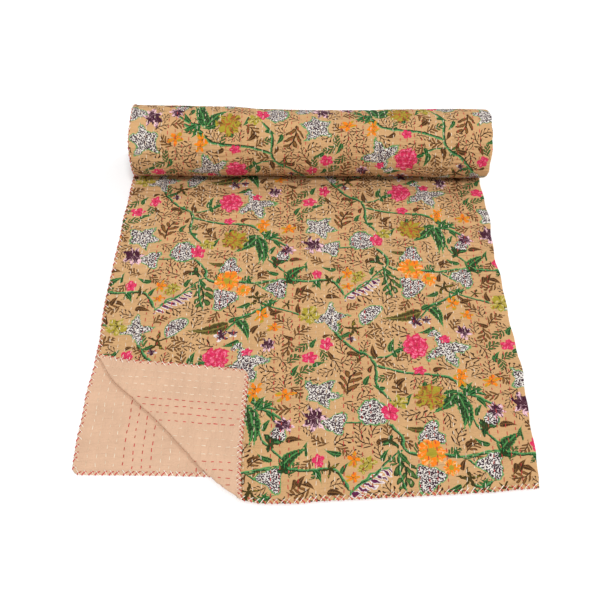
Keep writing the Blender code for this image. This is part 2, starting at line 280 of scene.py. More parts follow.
def hem_edge(s, upper):
    """x of a half's side hem: as the fold's, but the upper one runs straight beside the
    turned corner."""
    drift = read(SIDE_DRIFT, "s", "hem", s) + waves(HEM_WAVES, s)
    return -EDGE + ROLL_LEFT * in_roll(s) + drift * np.where(upper, past_corner(s), 1.0)


def front_slant(x, s, upper):
    """How far back the front hem lies: slanting and bowed, and for the lower half levelling
    off at the left."""
    forward = read(FRONT_BENDS, "x", "forward", x)
    below = FRONT_SLANT_BELOW * eased((EDGE - x) / LEVEL_BY) - np.minimum(forward, 0.0)
    above = (EDGE - x) * FRONT_SLOPE_ABOVE - forward
    return np.where(upper, above, below) * (1.0 - past_corner(s))


def swell(x, s):
    """Sum of soft round swells, each a bell curve, none at the lengthwise fold."""
    height = sum(
        high * np.exp(-(((x - at_x) / wide) ** 2) - ((s - at_s) / long) ** 2)
        for at_x, at_s, wide, long, high in SWELLS
    )
    from_fold = np.clip((fold_edge(s) - x) / 0.05, 0.0, 1.0)
    before_roll = np.clip((FLAT_LENGTH - s - 0.015) / 0.04, 0.0, 1.0)
    return height * from_fold * before_roll


def turn_line():
    """The turned corner's fold: its start on the side hem, its direction, the direction
    towards the corner, and the corner's distance."""
    corner = np.array([-EDGE, FRONT_SLANT_ABOVE])
    on_side = corner + (0.0, TURNED_ALONG_SIDE)
    on_front = corner + (TURNED_ALONG_FRONT, -FRONT_SLOPE_ABOVE * TURNED_ALONG_FRONT)
    along = (on_front - on_side) / np.linalg.norm(on_front - on_side)
    outward = np.array([along[1], -along[0]])
    if outward @ (corner - on_side) < 0:
        outward = -outward
    return on_side, along, outward, outward @ (corner - on_side)


TURN_START, TURN_ALONG, TURN_OUT, CORNER_OUT = turn_line()


def past_turn(x, s):
    """Distance past the turned corner's fold, towards the corner."""
    return (x - TURN_START[0]) * TURN_OUT[0] + (s - TURN_START[1]) * TURN_OUT[1]


def along_turn(x, s):
    """Distance along the turned corner's fold, from the side hem."""
    return (x - TURN_START[0]) * TURN_ALONG[0] + (s - TURN_START[1]) * TURN_ALONG[1]


def turned(x, s, m):
    """Plan place and height over the quilt's middle once the corner is turned back: level
    up to the fold, half a circle, then back over itself a little short and aside."""
    out, along = past_turn(x, s), along_turn(x, s)
    offset = m - BEND_RADIUS
    arc = np.clip(out, 0.0, TURN_ARC) / TURN_RADIUS
    back = np.maximum(out - TURN_ARC, 0.0)
    radius = TURN_RADIUS - offset
    aside = TURNED_ASIDE * back / CORNER_OUT
    belly = TURN_BELLY * np.sin(math.pi * np.clip(back / CORNER_OUT, 0.0, 1.0))
    new_out = np.minimum(out, 0.0) + radius * np.sin(arc) - TURNED_BACK * back
    new_m = BEND_RADIUS + TURN_RADIUS - radius * np.cos(arc) + belly
    new_x = TURN_START[0] + TURN_OUT[0] * new_out + TURN_ALONG[0] * (along + aside)
    new_s = TURN_START[1] + TURN_OUT[1] * new_out + TURN_ALONG[1] * (along + aside)
    past = out > 0.0
    return np.where(past, new_x, x), np.where(past, new_s, s), np.where(past, new_m, m)


def drawn_in(x, s):
    """How far the cloth near the turned corner's fold has been drawn in from its straight
    line, dying away to both sides of it as a bell curve."""
    beside = np.exp(-((past_turn(x, s) / TURN_BENDS_WIDTH) ** 2))
    return read(TURN_BENDS, "along", "inward", along_turn(x, s)) * beside


def girth(x, s):
    """How much thicker the roll is, as a share: none on the floor side, most on top."""
    return read(GIRTH, "x", "more", x) * (1.0 - np.cos(on_run(s, "angle"))) / 2


def open_plan(c, s, offset=0.0):
    """Before the corner is turned back: x, slanted s, height over the quilt's middle, and
    whether the point is past the lengthwise bend on the upper half."""
    upper = c > BEND_HALF
    share = np.maximum((np.abs(c) - BEND_HALF) / FLAT_ACROSS, 0.0)
    edge = fold_edge(s)
    bend = np.clip(c / BEND_RADIUS, -math.pi / 2, math.pi / 2)
    radius = BEND_RADIUS + offset
    x = edge + (hem_edge(s, upper) - edge) * share + radius * np.cos(bend)
    return x, s + front_slant(x, s, c > 0.0), radius * np.sin(bend), upper


def place(c, s, offset):
    """Folded place of the points at (c, s), offset from the quilt's middle towards the
    print: round the lengthwise fold, back over at the turned corner, and along the run."""
    x, s, m, upper = open_plan(c, s, offset)
    turned_x, turned_s, turned_m = turned(x, s, m)
    corner = upper & (past_turn(x, s) > 0.0)
    m = np.where(upper, m + swell(x, s), m)
    x = np.where(corner, turned_x, x)
    s = np.where(corner, turned_s, s)
    m = np.where(corner, turned_m, m)
    inward = np.where(upper, drawn_in(x, s), 0.0)
    x, s = x - TURN_OUT[0] * inward, s - TURN_OUT[1] * inward
    heading = on_run(s, "heading")
    forward = read(ROLL_BENDS, "x", "forward", x) * eased(s / FLAT_LENGTH)
    y = on_run(s, "y") - m * np.sin(heading)
    z = on_run(s, "z") + m * np.cos(heading)
    middle = ROLL_HEIGHT / 2
    more = 1.0 + girth(x, s)
    y = np.where(s > FLAT_LENGTH, FLAT_LENGTH + (y - FLAT_LENGTH) * more, y)
    z = np.where(s > FLAT_LENGTH, middle + (z - middle) * more, z)
    return np.stack([x, y - forward, z], axis=-1) - MIDDLE


# ---- Uneven surface: stitches that pull the cloths in, ripples between them ------------------
def noise(u, v, seed):
    """Smooth noise from -1 to 1: random values on a square lattice, eased in between."""
    lattice = np.random.default_rng(seed).uniform(-1.0, 1.0, (256, 256))
    i, j = np.floor(u).astype(int), np.floor(v).astype(int)
    a, b = eased(u - i), eased(v - j)
    i, j = i % 255, j % 255
    low = lattice[i, j] * (1 - a) + lattice[i + 1, j] * a
    high = lattice[i, j + 1] * (1 - a) + lattice[i + 1, j + 1] * a
    return low * (1 - b) + high * b


def stitch_table():
    """Every running stitch: its place along the row, half length and slant, by half of the
    quilt, row and number. The backing's stitches fill the spaces between them."""
    draw = np.random.default_rng(41)
    shape = (2, ROWS, STITCHES)
    start = draw.uniform(0.0, STITCH_PITCH, (2, ROWS, 1))
    pitch = STITCH_PITCH * (1.0 + draw.uniform(-0.06, 0.06, (2, ROWS, 1)))
    along = start + pitch * (np.arange(STITCHES) + draw.uniform(-0.10, 0.10, shape))
    return {
        "start": start,
        "pitch": pitch,
        "along": along,
        "half": draw.uniform(0.0028, 0.0052, shape),
        "slant": draw.normal(0.0, 0.07, shape),
        "aside": draw.normal(0.0, 0.00035, shape),
    }


STITCH_TABLE = stitch_table()


def row_wander(half, row, s):
    """How far a row strays from straight, along its length."""
    return WANDER * noise(s / WANDER_LENGTH + 40.0, row * 1.7 + half * 90.0, 7)


def nearest_stitch(c, s, side):
    """Distances across and along from the nearest stitch on one side of the quilt, and that
    stitch's half length."""
    half = (c > 0.0).astype(int)
    inward = FOLDED - np.abs(c)
    row = np.clip(np.round((inward - FIRST_ROW) / ROW_GAP).astype(int), 0, ROWS - 1)
    across = inward - FIRST_ROW - ROW_GAP * row - row_wander(half, row, s)
    shift = 0.0 if side > 0 else 0.5
    start = STITCH_TABLE["start"][half, row, 0]
    pitch = STITCH_TABLE["pitch"][half, row, 0]
    number = np.round((s - start) / pitch - shift).astype(int)
    number = np.clip(number, 0, STITCHES - 1)
    along = s - STITCH_TABLE["along"][half, row, number] - shift * pitch
    return across, along, STITCH_TABLE["half"][half, row, number]


def relief(c, s, side, sizes):
    """Offset of a cloth's shown face from the quilt's middle, towards the print. Each stitch
    presses a short trough, the cloth between puffs up, ripples run across the rows, and the
    edge curves in to meet the other cloth."""
    across, along, half = nearest_stitch(c, s, side)
    beside = np.exp(-((across / TROUGH_WIDTH) ** 2))
    pressed = beside * np.exp(-((along / (half + TROUGH_ENDS)) ** 4))
    puff = 0.35 + 0.65 * noise(c / PUFFS[0], s / PUFFS[1], 3 if side > 0 else 4)
    puff = sizes.puff * puff * (1.0 - 0.8 * beside) - sizes.trough * pressed
    ripples = noise(c / RIPPLES[0], s / RIPPLES[1], 5)
    ripples = ripples + 0.5 * noise(c / FINE_RIPPLES[0] + 9.0, s / FINE_RIPPLES[1], 6)
    slow = noise(c / SLOW_WAVES[0], s / SLOW_WAVES[1] + 3.0, 8)
    shared = sizes.ripple * ripples + sizes.wave * slow * on_top(c, s)
    edge = np.minimum(FOLDED - np.abs(c), np.minimum(s, QUILT_LENGTH - s))
    inside = np.clip(edge / EDGE_ROUNDED, 0.0, 1.0)
    thick = HALF_LAYER * np.sqrt(1.0 - (1.0 - inside) ** 2)
    bitten = -HEM_BITE * np.exp(-(((edge - HEM_REACH) / HEM_BITE_WIDTH) ** 2))
    calm = eased(edge / CALM_EDGE)
    return side * (thick + bitten * inside + puff * calm) + shared * calm * free(c, s)


def on_top(c, s):
    """1 on the flat upper half, 0 where a slow wave would push layers into each other."""
    return eased((c - 0.02) / 0.05) * eased((0.74 - s) / 0.05) * eased(s / 0.05)


def free(c, s):
    """Share of the ripples that a place keeps: all on top, less between layers."""
    lower = eased((0.02 - c) / 0.02) * eased((0.76 - s) / 0.03)
    return 1.0 - 0.75 * lower


# ---- Meshes ----------------------------------------------------------------------------------
def zipped(first, first_columns, second, second_columns):
    """Triangles between two rows of points whose columns differ: each edge of a row takes
    the other row's nearest point."""
    first_mid = (first_columns[1:] + first_columns[:-1]) / 2
    second_mid = (second_columns[1:] + second_columns[:-1]) / 2
    to_second = np.searchsorted(second_mid, first_mid, "left")
    to_first = np.searchsorted(first_mid, second_mid, "right")
    lower = np.stack([first[:-1], first[1:], second[to_second]], 1)
    upper = np.stack([second[1:], second[:-1], first[to_first]], 1)
    return np.concatenate([lower, upper])


def banded_grid(bands):
    """Points (c, s) and faces of a cloth laid open: each band is a grid of its own columns
    and rows, and neighbouring bands are zipped together."""
    points, faces, count, before = [], [], 0, None
    for columns, rows in bands:
        c, s = np.meshgrid(columns, rows)
        points.append(np.stack([c.ravel(), s.ravel()], 1))
        index = count + np.arange(c.size).reshape(c.shape)
        corners = [index[:-1, :-1], index[:-1, 1:], index[1:, 1:], index[1:, :-1]]
        faces += np.stack(corners, -1).reshape(-1, 4).tolist()
        if before is not None:
            faces += zipped(*before, index[0], columns).tolist()
        before = (index[-1], columns)
        count += c.size
    return np.concatenate(points), faces


def steps(start, end, step):
    """Even stations from start to end, about a step apart, with both ends."""
    return np.linspace(start, end, max(2, int(round(abs(end - start) / step)) + 1))


def half_columns(step):
    """Columns of one half, from its hem to the lengthwise bend."""
    return np.r_[FOLDED - HEM_STATIONS, steps(FOLDED - PAST_HEM, BEND_HALF, step)]


def all_columns(below, above):
    """Columns of both halves and of the bend between them, in rising order."""
    bend = np.linspace(-BEND_HALF, BEND_HALF, 9)[1:-1]
    return np.r_[-below, bend, above[::-1]]


def across_columns(below, above):
    """Columns right across, with a step for each half."""
    return all_columns(half_columns(below), half_columns(above))


def front_rows(end):
    """Rows from the front hem on."""
    return np.r_[HEM_STATIONS, steps(PAST_HEM, end, MESH_STEP)]


def last_rows(start):
    """Rows from a length in the roll to the rolled end's hem."""
    rows = roll_rows(start, QUILT_LENGTH - 0.006, HIDDEN_PER_TURN)
    return np.r_[rows, QUILT_LENGTH - HEM_STATIONS[:-1][::-1]]


def roll_rows(start, end, per_turn):
    """Rows between two lengths in the roll, at even angles."""
    angles = np.interp([start, end], RUN["s"], RUN["angle"])
    count = int(round((angles[1] - angles[0]) / TAU * per_turn)) + 1
    return np.interp(np.linspace(*angles, count), RUN["angle"], RUN["s"])


def cut_at_turn(mesh):
    """Cuts the open cloth along the lines where its corner turns back."""
    shaped = bmesh.new()
    shaped.from_mesh(mesh)
    wider = FLAT_ACROSS / (BEND_X + EDGE)
    across = -(TURN_OUT[0] - FRONT_SLOPE_ABOVE * TURN_OUT[1]) / wider
    lines = 8
    for line in range(lines + 1):
        on_hem = TURN_START[1] - FRONT_SLANT_ABOVE
        on_hem += TURN_ARC * line / lines / TURN_OUT[1]
        bmesh.ops.bisect_plane(
            shaped,
            geom=shaped.verts[:] + shaped.edges[:] + shaped.faces[:],
            dist=2e-5,
            plane_co=(FOLDED, on_hem, 0.0),
            plane_no=(across, TURN_OUT[1], 0.0),
        )
    many = [face for face in shaped.faces if len(face.verts) > 4]
    bmesh.ops.triangulate(shaped, faces=many)
    shaped.to_mesh(mesh)
    shaped.free()


def round_corners(c, s):
    """Draws the corners of the front hem in: the square beside each corner is mapped onto a
    quarter of a disc."""
    radius = CORNER_RADIUS
    a = np.clip(1.0 - (FOLDED - np.abs(c)) / radius, 0.0, 1.2)
    b = np.clip(1.0 - s / radius, 0.0, 1.2)
    new_c = np.sign(c) * (FOLDED - radius + radius * a * np.sqrt(1.0 - b * b / 2))
    new_s = radius - radius * b * np.sqrt(1.0 - a * a / 2)
    return np.where(a > 0.0, new_c, c), np.where(b > 0.0, new_s, s)


def values_of(collection, name, width, kind=np.float32):
    """One property of all a mesh's vertices, loops or faces."""
    values = np.empty(len(collection) * width, kind)
    collection.foreach_get(name, values)
    return values.reshape(-1, width) if width > 1 else values


def put(name, data):
    """Puts a mesh, lamp or camera in the scene as an object of its own."""
    made = bpy.data.objects.new(name, data)
    bpy.context.scene.collection.objects.link(made)
    return made


def finish_mesh(mesh, map_name, places):
    """Keeps each point's place as the mesh's UV map, and smooths it. Gives the corners'
    places."""
    at_corners = places[values_of(mesh.loops, "vertex_index", 1, np.int32)]
    layer = mesh.uv_layers.new(name=map_name)
    layer.data.foreach_set("uv", at_corners.astype(np.float32).ravel())
    mesh.shade_smooth()
    mesh.update()
    return at_corners


def keep_attribute(mesh, name, domain, values):
    """Keeps a vector for every face or face corner of a mesh."""
    made = mesh.attributes.new(name, "FLOAT_VECTOR", domain)
    made.data.foreach_set("vector", np.ascontiguousarray(values, np.float32).ravel())


def lay_cloth(name, bands, side, sizes):
    """One cloth as a sheet: laid open in bands, cut at the turned corner's fold, then every
    point placed by its relief over the folded quilt. Gives the piece, and the places of its
    face corners on the open cloth."""
    points, faces = banded_grid(bands)
    mesh = bpy.data.meshes.new(name)
    flat = np.c_[points, np.zeros(len(points))]
    if side > 0:
        faces = [face[::-1] for face in faces]
    mesh.from_pydata(flat.tolist(), [], faces)
    cut_at_turn(mesh)
    laid = values_of(mesh.vertices, "co", 3)[:, :2].astype(float)
    c, s = laid[:, 0], laid[:, 1]
    placed = place(*round_corners(c, s), relief(c, s, side, sizes))
    placed[:, 2] = np.maximum(placed[:, 2], 0.0001)
    mesh.vertices.foreach_set("co", placed.astype(np.float32).ravel())
    corners = finish_mesh(mesh, "Cloth", laid)
    return put(name, mesh), corners


def make_threads(name, centres, outward, radius, tone):
    """Many short threads as one mesh: a ring of points carried along each thread's centres,
    thinner at the ends, with a map of length along and share round for the twist. None
    sinks into the floor, and each keeps its tone."""
    centres[..., 2] = np.maximum(centres[..., 2], radius)
    count, stations = centres.shape[:2]
    along = np.gradient(centres, axis=1)
    along /= np.linalg.norm(along, axis=2, keepdims=True)
    beside = np.cross(along, outward)
    beside /= np.linalg.norm(beside, axis=2, keepdims=True)
    above = np.cross(beside, along)
    share = np.arange(THREAD_SIDES) / THREAD_SIDES
    angle = share * TAU
    thick = np.ones(stations)
    thick[[0, -1]] = 0.45
    reach = radius * thick[None, :, None, None]
    ring = beside[:, :, None] * np.cos(angle)[None, None, :, None]
    ring = ring + above[:, :, None] * np.sin(angle)[None, None, :, None]
    points = centres[:, :, None] + reach * ring
    index = np.arange(points.size // 3).reshape(count, stations, THREAD_SIDES)
    turned_on = np.roll(index, -1, axis=2)
    walls = [index[:, :-1], turned_on[:, :-1], turned_on[:, 1:], index[:, 1:]]
    walls = np.stack(walls, -1).reshape(-1, 4)
    ends = np.concatenate([index[:, 0, ::-1], index[:, -1]])
    mesh = bpy.data.meshes.new(name)
    mesh.from_pydata(points.reshape(-1, 3).tolist(), [], walls.tolist() + ends.tolist())
    length = np.linalg.norm(np.diff(centres, axis=1), axis=2)
    length = np.c_[np.zeros(count), np.cumsum(length, axis=1)] / TWIST_LENGTH
    twist = np.stack(np.broadcast_arrays(length[:, :, None], share), -1).reshape(-1, 2)
    tones = np.r_[np.repeat(tone, (stations - 1) * THREAD_SIDES), np.tile(tone, 2)]
    keep_attribute(mesh, "tone", "FACE", np.stack([tones] * 3, 1))
    finish_mesh(mesh, "Thread", twist)
    return put(name, mesh)


# ---- The print -------------------------------------------------------------------------------
# A common all-over print of flowers and leaves on trailing stems. Places are millimetres on
# the cloth, rightwards and upwards as the folded quilt is seen, within one repeat.
REPEAT = np.array([[360.0, 33.0], [0.0, 405.0]])
PRINT_FROM_FOLD = 477.0  # from the lengthwise fold to the print's zero
PRINT_BEHIND = 24.0  # the print has run on by this much behind the roll
MOTIF_REACH = 3.2  # a face whose middle is this far outside a motif may still touch it
VINE_REACH = 11.0
OUTSIDE = 5.0  # place of faces that lie in no motif, in half sizes
BROWN, DEEP_BROWN = (0.155, 0.062, 0.016), (0.030, 0.010, 0.004)
GREEN, DEEP_GREEN = (0.060, 0.25, 0.065), (0.004, 0.030, 0.009)
OLIVE, DEEP_OLIVE = (0.36, 0.29, 0.025), (0.040, 0.030, 0.006)
PINKS = ((0.64, 0.020, 0.095), (0.84, 0.18, 0.29), (0.40, 0.006, 0.05))
ORANGE, PALE_ORANGE = (0.86, 0.20, 0.006), (0.88, 0.52, 0.22)
PURPLE, LILAC, WHITE = (0.040, 0.002, 0.022), (0.84, 0.52, 0.58), (0.80, 0.70, 0.68)
RUST, SAND = (0.40, 0.07, 0.02), (0.60, 0.46, 0.18)

# Flowers: width over length, then shape (petals, depth between them, pointed or not),
# rings (rings of petals, share of the centre, paler rims), tints (streaks from the centre,
# fading to one side) and colours of petals, rims and centre.
FLOWERS = {
    "pink_double": (0.88, (8, 0.20, 0), (2.4, 0.05, 0.6), (1.6, 0.2, 0), *PINKS),
    "pink_small": (0.82, (5, 0.34, 0), (1.6, 0.12, 0.4), (2.0, 0, 0), *PINKS),
    "orange_open": (1.0, (8, 0.18, 0), (1, 0.30, 0.3), (1.6, 0, 0), ORANGE, PALE_ORANGE, OLIVE),
    "orange_small": (0.7, (5, 0.72, 0), (1, 0.1, 0.3), (2.4, 0.7, 0), ORANGE, OLIVE, BROWN),
    "purple_fan": (0.85, (7, 0.42, 0.6), (1.0, 0.05, 0.3), (1.9, 0.95, 0), PURPLE, LILAC, PURPLE),
    "orchid": (0.9, (5, 0.62, 0), (1, 0.15, 0.3), (1.4, 0.8, 0), PURPLE, WHITE, PURPLE),
    "olive_spoked": (1.0, (8, 0.30, 0), (1, 0.13, 0.3), (2.8, 0, 0), OLIVE, BROWN, RUST),
    "olive_soft": (0.9, (5, 0.36, 0), (2, 0.12, 0.5), (2.8, 0, 0), OLIVE, SAND, DEEP_OLIVE),
    "dark_fingers": (0.9, (5, 0.80, 1), (1, 0.04, 0), (1.6, 0, 0), DEEP_OLIVE, OLIVE, DEEP_OLIVE),
    "dark_trefoil": (1.0, (3, 0.62, 1), (1, 0.04, 0), (2, 0, 0), DEEP_GREEN, GREEN, DEEP_OLIVE),
}
# Speckled leaves: width over length, and shape as above. The back half of some is shorter,
# by the share in STUBBY.
SPECKLED = {
    "star": (0.95, (5, 0.44, 1)),
    "round": (1.0, (9, 0.10, 0)),
    "lobed": (0.85, (3, 0.40, 0.5)),
    "oval": (0.62, (2, 0.16, 1)),
    "winged": (0.95, (4, 0.60, 0.9)),
}
STUBBY = {"star": 0.45, "lobed": 0.25}
# Leaves: width over length, bright colour and dark one.
LEAVES = {
    "green": (0.42, GREEN, DEEP_GREEN),
    "olive": (0.36, (0.20, 0.17, 0.04), DEEP_OLIVE),
    "brown": (0.46, (0.21, 0.095, 0.026), DEEP_BROWN),
}
# Sprigs: width over length, shape (leaflets, their width, 1 for buds and -1 for tufts on
# one side), colours of leaflets and of their rims.
SPRIGS = {
    "twig": (0.70, (3.4, 0.1, 1), DEEP_BROWN, DEEP_BROWN),
    "leafy": (0.72, (3.3, 0.31, 0), (0.20, 0.085, 0.022), DEEP_BROWN),
    "dark": (0.66, (3.2, 0.37, 0), (0.055, 0.14, 0.030), DEEP_GREEN),
    "spray": (0.62, (7, 0.40, -1), (0.10, 0.008, 0.06), WHITE),
}
# Where the motifs of each kind lie: place (two numbers), half length, direction in degrees.
FLOWERS_LAID = {
    "purple_fan": ((112, 128, 27, 110), (61, 114, 19, 150), (28, 282, 18, 80)),
    "orange_small": ((60, 174, 19, 20), (5, 177, 18, 100), (177, 50, 16, 80), (176, 18, 13, 10),
        (14, 350, 19, 70), (38, 322, 15, 10), (367, 220, 17, 45)),
    "pink_small": ((241, 142, 19, 90), (119, 48, 13, 100), (350, 298, 11, 20), (296, 228, 12, 0),
        (134, 285, 15, 70), (103, 254, 16, 10)),
    "olive_soft": ((256, 160, 17, 30), (200, 45, 15, 0), (105, 352, 23, 60), (193, 35, 11, 60)),
    "olive_spoked": ((310, 174, 28, 0),),
    "orange_open": ((305, 64, 25, 10), (336, 38, 15, 50)),
    "dark_fingers": ((364, 18, 22, 20), (140, 33, 18, 40), (187, 320, 24, 90), (62, 376, 13, 0)),
    "dark_trefoil": ((42, 80, 20, 10), (240, 84, 16, 200), (63, 31, 13, 90)),
    "pink_double": ((296, 283, 28, 80),),
    "orchid": ((302, 336, 15, 40), (323, 341, 10, 90), (180, 298, 10, 200)),
}
SPECKLED_LAID = {
    "star": ((122, 176, 42, 65),),
    "lobed": ((147, 117, 29, 60), (308, 98, 31, 90), (302, 20, 35, 255), (42, 13, 32, 300)),
    "round": ((52, 97, 15, 0), (211, 142, 28, 0)),
    "winged": ((350, 275, 46, 20), (143, 346, 40, 100)),
    "oval": ((216, 356, 30, 50), (330, 306, 18, 60)),
}
LEAVES_LAID = {
    "green": ((273, 168, 14, 60), (338, 160, 32, 225), (370, 142, 34, 283), (350, 182, 17, 20),
        (376, 196, 14, 340), (392, 186, 14, 20), (78, 55, 30, 40), (6, 112, 36, 275),
        (320, 316, 17, 200), (343, 352, 28, 295), (111, 288, 13, 60), (120, 242, 13, 20),
        (77, 228, 14, 60), (252, 284, 17, 75), (268, 272, 14, 20), (60, 40, 16, 120),
        (98, 70, 14, 80), (328, 374, 16, 20), (255, 60, 13, 120), (168, 305, 13, 200),
        (255, 268, 12, 100), (300, 190, 14, 250), (18, 160, 15, 60), (40, 128, 14, 300),
        (120, 20, 13, 300), (162, 36, 12, 60), (345, 66, 12, 100), (30, 52, 14, 150),
        (375, 398, 14, 110), (30, 382, 12, 70), (228, 60, 13, 60), (222, 192, 12, 160),
        (244, 160, 10, 110), (142, 63, 15, 160), (338, 404, 15, 200), (31, 115, 14, 60),
        (202, 209, 13, 60)),
    "olive": ((280, 108, 19, 170), (277, 350, 38, 192)),
    "brown": ((92, 12, 13, 60), (104, 4, 13, 330), (80, 2, 12, 250), (228, 86, 13, 20),
        (42, 357, 14, 10), (30, 366, 10, 120), (136, 304, 9, 20), (184, 262, 14, 340),
        (150, 396, 15, 350), (190, 250, 10, 250), (20, 246, 12, 200), (356, 44, 12, 70),
        (12, 50, 12, 30), (210, 232, 10, 60), (262, 205, 13, 40), (140, 262, 11, 120),
        (330, 232, 12, 20), (64, 300, 12, 150), (80, 87, 15, 0), (218, 270, 15, 100),
        (4, 320, 14, 50), (82, 369, 13, 90)),
}
SPRIGS_LAID = {
    "leafy": ((174, 204, 27, 70), (234, 286, 15, 100), (260, 190, 19, 130), (376, 78, 16, 30),
        (90, 314, 17, 40), (240, 217, 14, 200), (62, 274, 18, 250), (15, 300, 14, 60),
        (90, 395, 17, 200), (20, 20, 14, 300), (262, 84, 16, 330), (120, 85, 14, 150),
        (225, 325, 15, 160), (80, 180, 15, 320), (185, 372, 14, 30), (345, 268, 12, 60),
        (155, 300, 13, 170), (284, 378, 15, 240), (56, 145, 15, 180), (238, 245, 15, 350),
        (47, 342, 15, 140), (218, 306, 14, 0), (100, 41, 13, 230), (236, 107, 13, 100),
        (160, 67, 13, 320), (268, 257, 13, 40)),
    "dark": ((259, 24, 30, 275), (196, 262, 14, 60), (228, 212, 13, 200), (286, 74, 13, 60),
        (78, 33, 14, 60), (342, 66, 13, 40), (386, 186, 15, 40), (160, 320, 14, 100),
        (27, 380, 14, 200), (348, 386, 14, 60), (118, 26, 13, 240), (22, 150, 13, 60),
        (272, 280, 12, 120), (322, 210, 13, 250), (244, 48, 14, 150), (98, 228, 14, 20),
        (88, 277, 15, 220), (74, 251, 15, 40), (82, 210, 13, 270), (128, 259, 13, 280)),
    "spray": ((202, 16, 42, 38),),
    "twig": ((162, 87, 18, 20), (195, 85, 17, 150), (215, 107, 16, 60), (275, 137, 16, 190),
        (300, 131, 18, 10), (355, 95, 18, 70), (205, 395, 19, 340), (257, 392, 18, 30),
        (162, 277, 16, 100), (272, 317, 18, 150), (150, 240, 17, 300), (255, 367, 15, 60),
        (100, 200, 17, 30), (30, 226, 18, 160), (345, 245, 17, 120), (290, 255, 15, 30),
        (315, 395, 17, 110), (220, 65, 14, 100), (200, 172, 16, 20), (90, 150, 15, 200),
        (330, 205, 13, 250), (60, 205, 15, 80), (185, 232, 13, 10), (65, 330, 14, 100),
        (330, 180, 14, 60), (130, 225, 15, 200), (30, 205, 14, 20), (285, 200, 13, 260),
        (175, 152, 14, 320), (85, 130, 12, 250), (15, 140, 14, 120), (250, 340, 13, 200),
        (350, 392, 13, 40), (120, 385, 15, 160), (20, 262, 13, 90), (325, 262, 13, 330),
        (262, 232, 13, 170), (180, 60, 12, 10), (100, 105, 12, 320), (20, 395, 13, 200),
        (205, 285, 12, 70), (300, 205, 11, 30), (340, 126, 15, 280), (58, 238, 15, 290),
        (190, 109, 15, 100), (172, 248, 15, 10), (236, 404, 15, 130), (40, 188, 15, 10),
        (152, 411, 14, 10), (244, 309, 14, 350), (50, 294, 13, 80), (100, 296, 13, 150),
        (200, 191, 13, 350), (346, 198, 13, 300), (40, 260, 13, 140)),
}
# Each vine: half width, then its points.
VINES = (
    (2.4, (152, 312), (165, 292), (185, 272), (207, 260), (219, 240), (217, 205), (225, 187),
        (238, 172)),
    (1.6, (210, 256), (240, 258), (275, 277), (300, 282)),
    (2.3, (222, 238), (265, 224), (310, 219), (347, 212), (370, 190), (400, 180)),
    (2.4, (242, 115), (260, 92), (260, 72), (280, 60), (305, 62)),
    (1.4, (258, 70), (230, 45), (210, 20), (185, 5)),
    (1.6, (250, 65), (252, 30), (260, 0)),
    (2.2, (327, 60), (357, 57), (400, 67)),
    (1.6, (357, 57), (377, 42), (392, 36)),
    (2.3, (0, 147), (30, 142), (55, 127)),
    (1.5, (165, 120), (200, 121)),
    (1.8, (25, 85), (60, 50)),
    (2.4, (50, 35), (100, 30), (142, 34), (160, 15), (168, 0)),
    (1.6, (0, 20), (37, 32)),
    (2.2, (332, 377), (357, 389), (385, 407), (400, 417)),
    (1.9, (332, 377), (322, 362), (312, 350)),
    (1.8, (15, 378), (50, 365), (82, 354)),
    (1.2, (370, 190), (372, 160), (385, 118)),
)


def smooth_line(points, step=5.0):
    """Stations along a curve through the points: a cubic between each two, whose directions
    come from the neighbours."""
    points = np.asarray(points, float)
    ends = np.concatenate([2 * points[:1] - points[1:2], points, 2 * points[-1:] - points[-2:-1]])
    pieces = []
    for before, start, end, after in zip(ends, ends[1:], ends[2:], ends[3:]):
        t = steps(0.0, 1.0, step / np.linalg.norm(end - start))[:-1, None]
        bend = 2 * before - 5 * start + 4 * end - after
        twist = 3 * (start - end) + after - before
        pieces.append(start + 0.5 * t * (end - before + t * (bend + t * twist)))
    return np.concatenate([*pieces, points[-1:]])


def nearest_repeat(points, place_at):
    """Shift of the print's repeat that brings a place nearest to each point."""
    share = (points - place_at) @ np.linalg.inv(REPEAT)
    return np.round(share) @ REPEAT


def shortened(local, stub):
    """A motif's own coordinates, drawn so that its back half comes out shorter."""
    longer = np.where(local[:, 0] < 0.0, 1.0 + stub, 1.0)
    return local * np.stack([longer, np.ones(len(local))], 1)


def lay_motifs(mesh, name, kinds, laid, middles, corners, face_of):
    """Keeps every face's place in the motif of one layer that it lies deepest in: the offset
    from the nearest repeat of its middle, turned to its direction and divided by its half
    sizes. Gives the features of no motif and of each, and which of these every face has."""
    laid = [(kind, *row) for kind, rows in laid.items() for row in rows]
    best = np.full(len(middles), MOTIF_REACH)
    chosen = np.full(len(middles), -1)
    shift = np.zeros((len(middles), 2))
    sizes = np.array([(half, half * kinds[kind][0]) for kind, _, _, half, _ in laid])
    stub = np.array([STUBBY.get(row[0], 0.0) for row in laid])
    angle = np.radians([row[4] for row in laid])
    centres = np.array([row[1:3] for row in laid], float)
    turn = np.stack([np.cos(angle), np.sin(angle), -np.sin(angle), np.cos(angle)], -1)
    turn = turn.reshape(-1, 2, 2)
    for motif, (centre, size, turned_by) in enumerate(zip(centres, sizes, turn)):
        moved = nearest_repeat(middles, centre)
        local = shortened((middles - centre - moved) @ turned_by.T / size, stub[motif])
        outside = (np.linalg.norm(local, axis=1) - 1.0) * size[1]
        nearer = outside < best
        best[nearer], chosen[nearer], shift[nearer] = outside[nearer], motif, moved[nearer]
    motif = chosen[face_of]
    offset = corners - centres[motif] - shift[face_of]
    local = np.einsum("nij,nj->ni", turn[motif], offset) / sizes[motif]
    local = shortened(local, stub[motif])
    local[motif < 0] = OUTSIDE
    keep_attribute(mesh, f"{name}_place", "CORNER", np.c_[local, np.zeros(len(local))])
    return [kinds[row[0]] for row in (laid[0], *laid)], chosen + 1


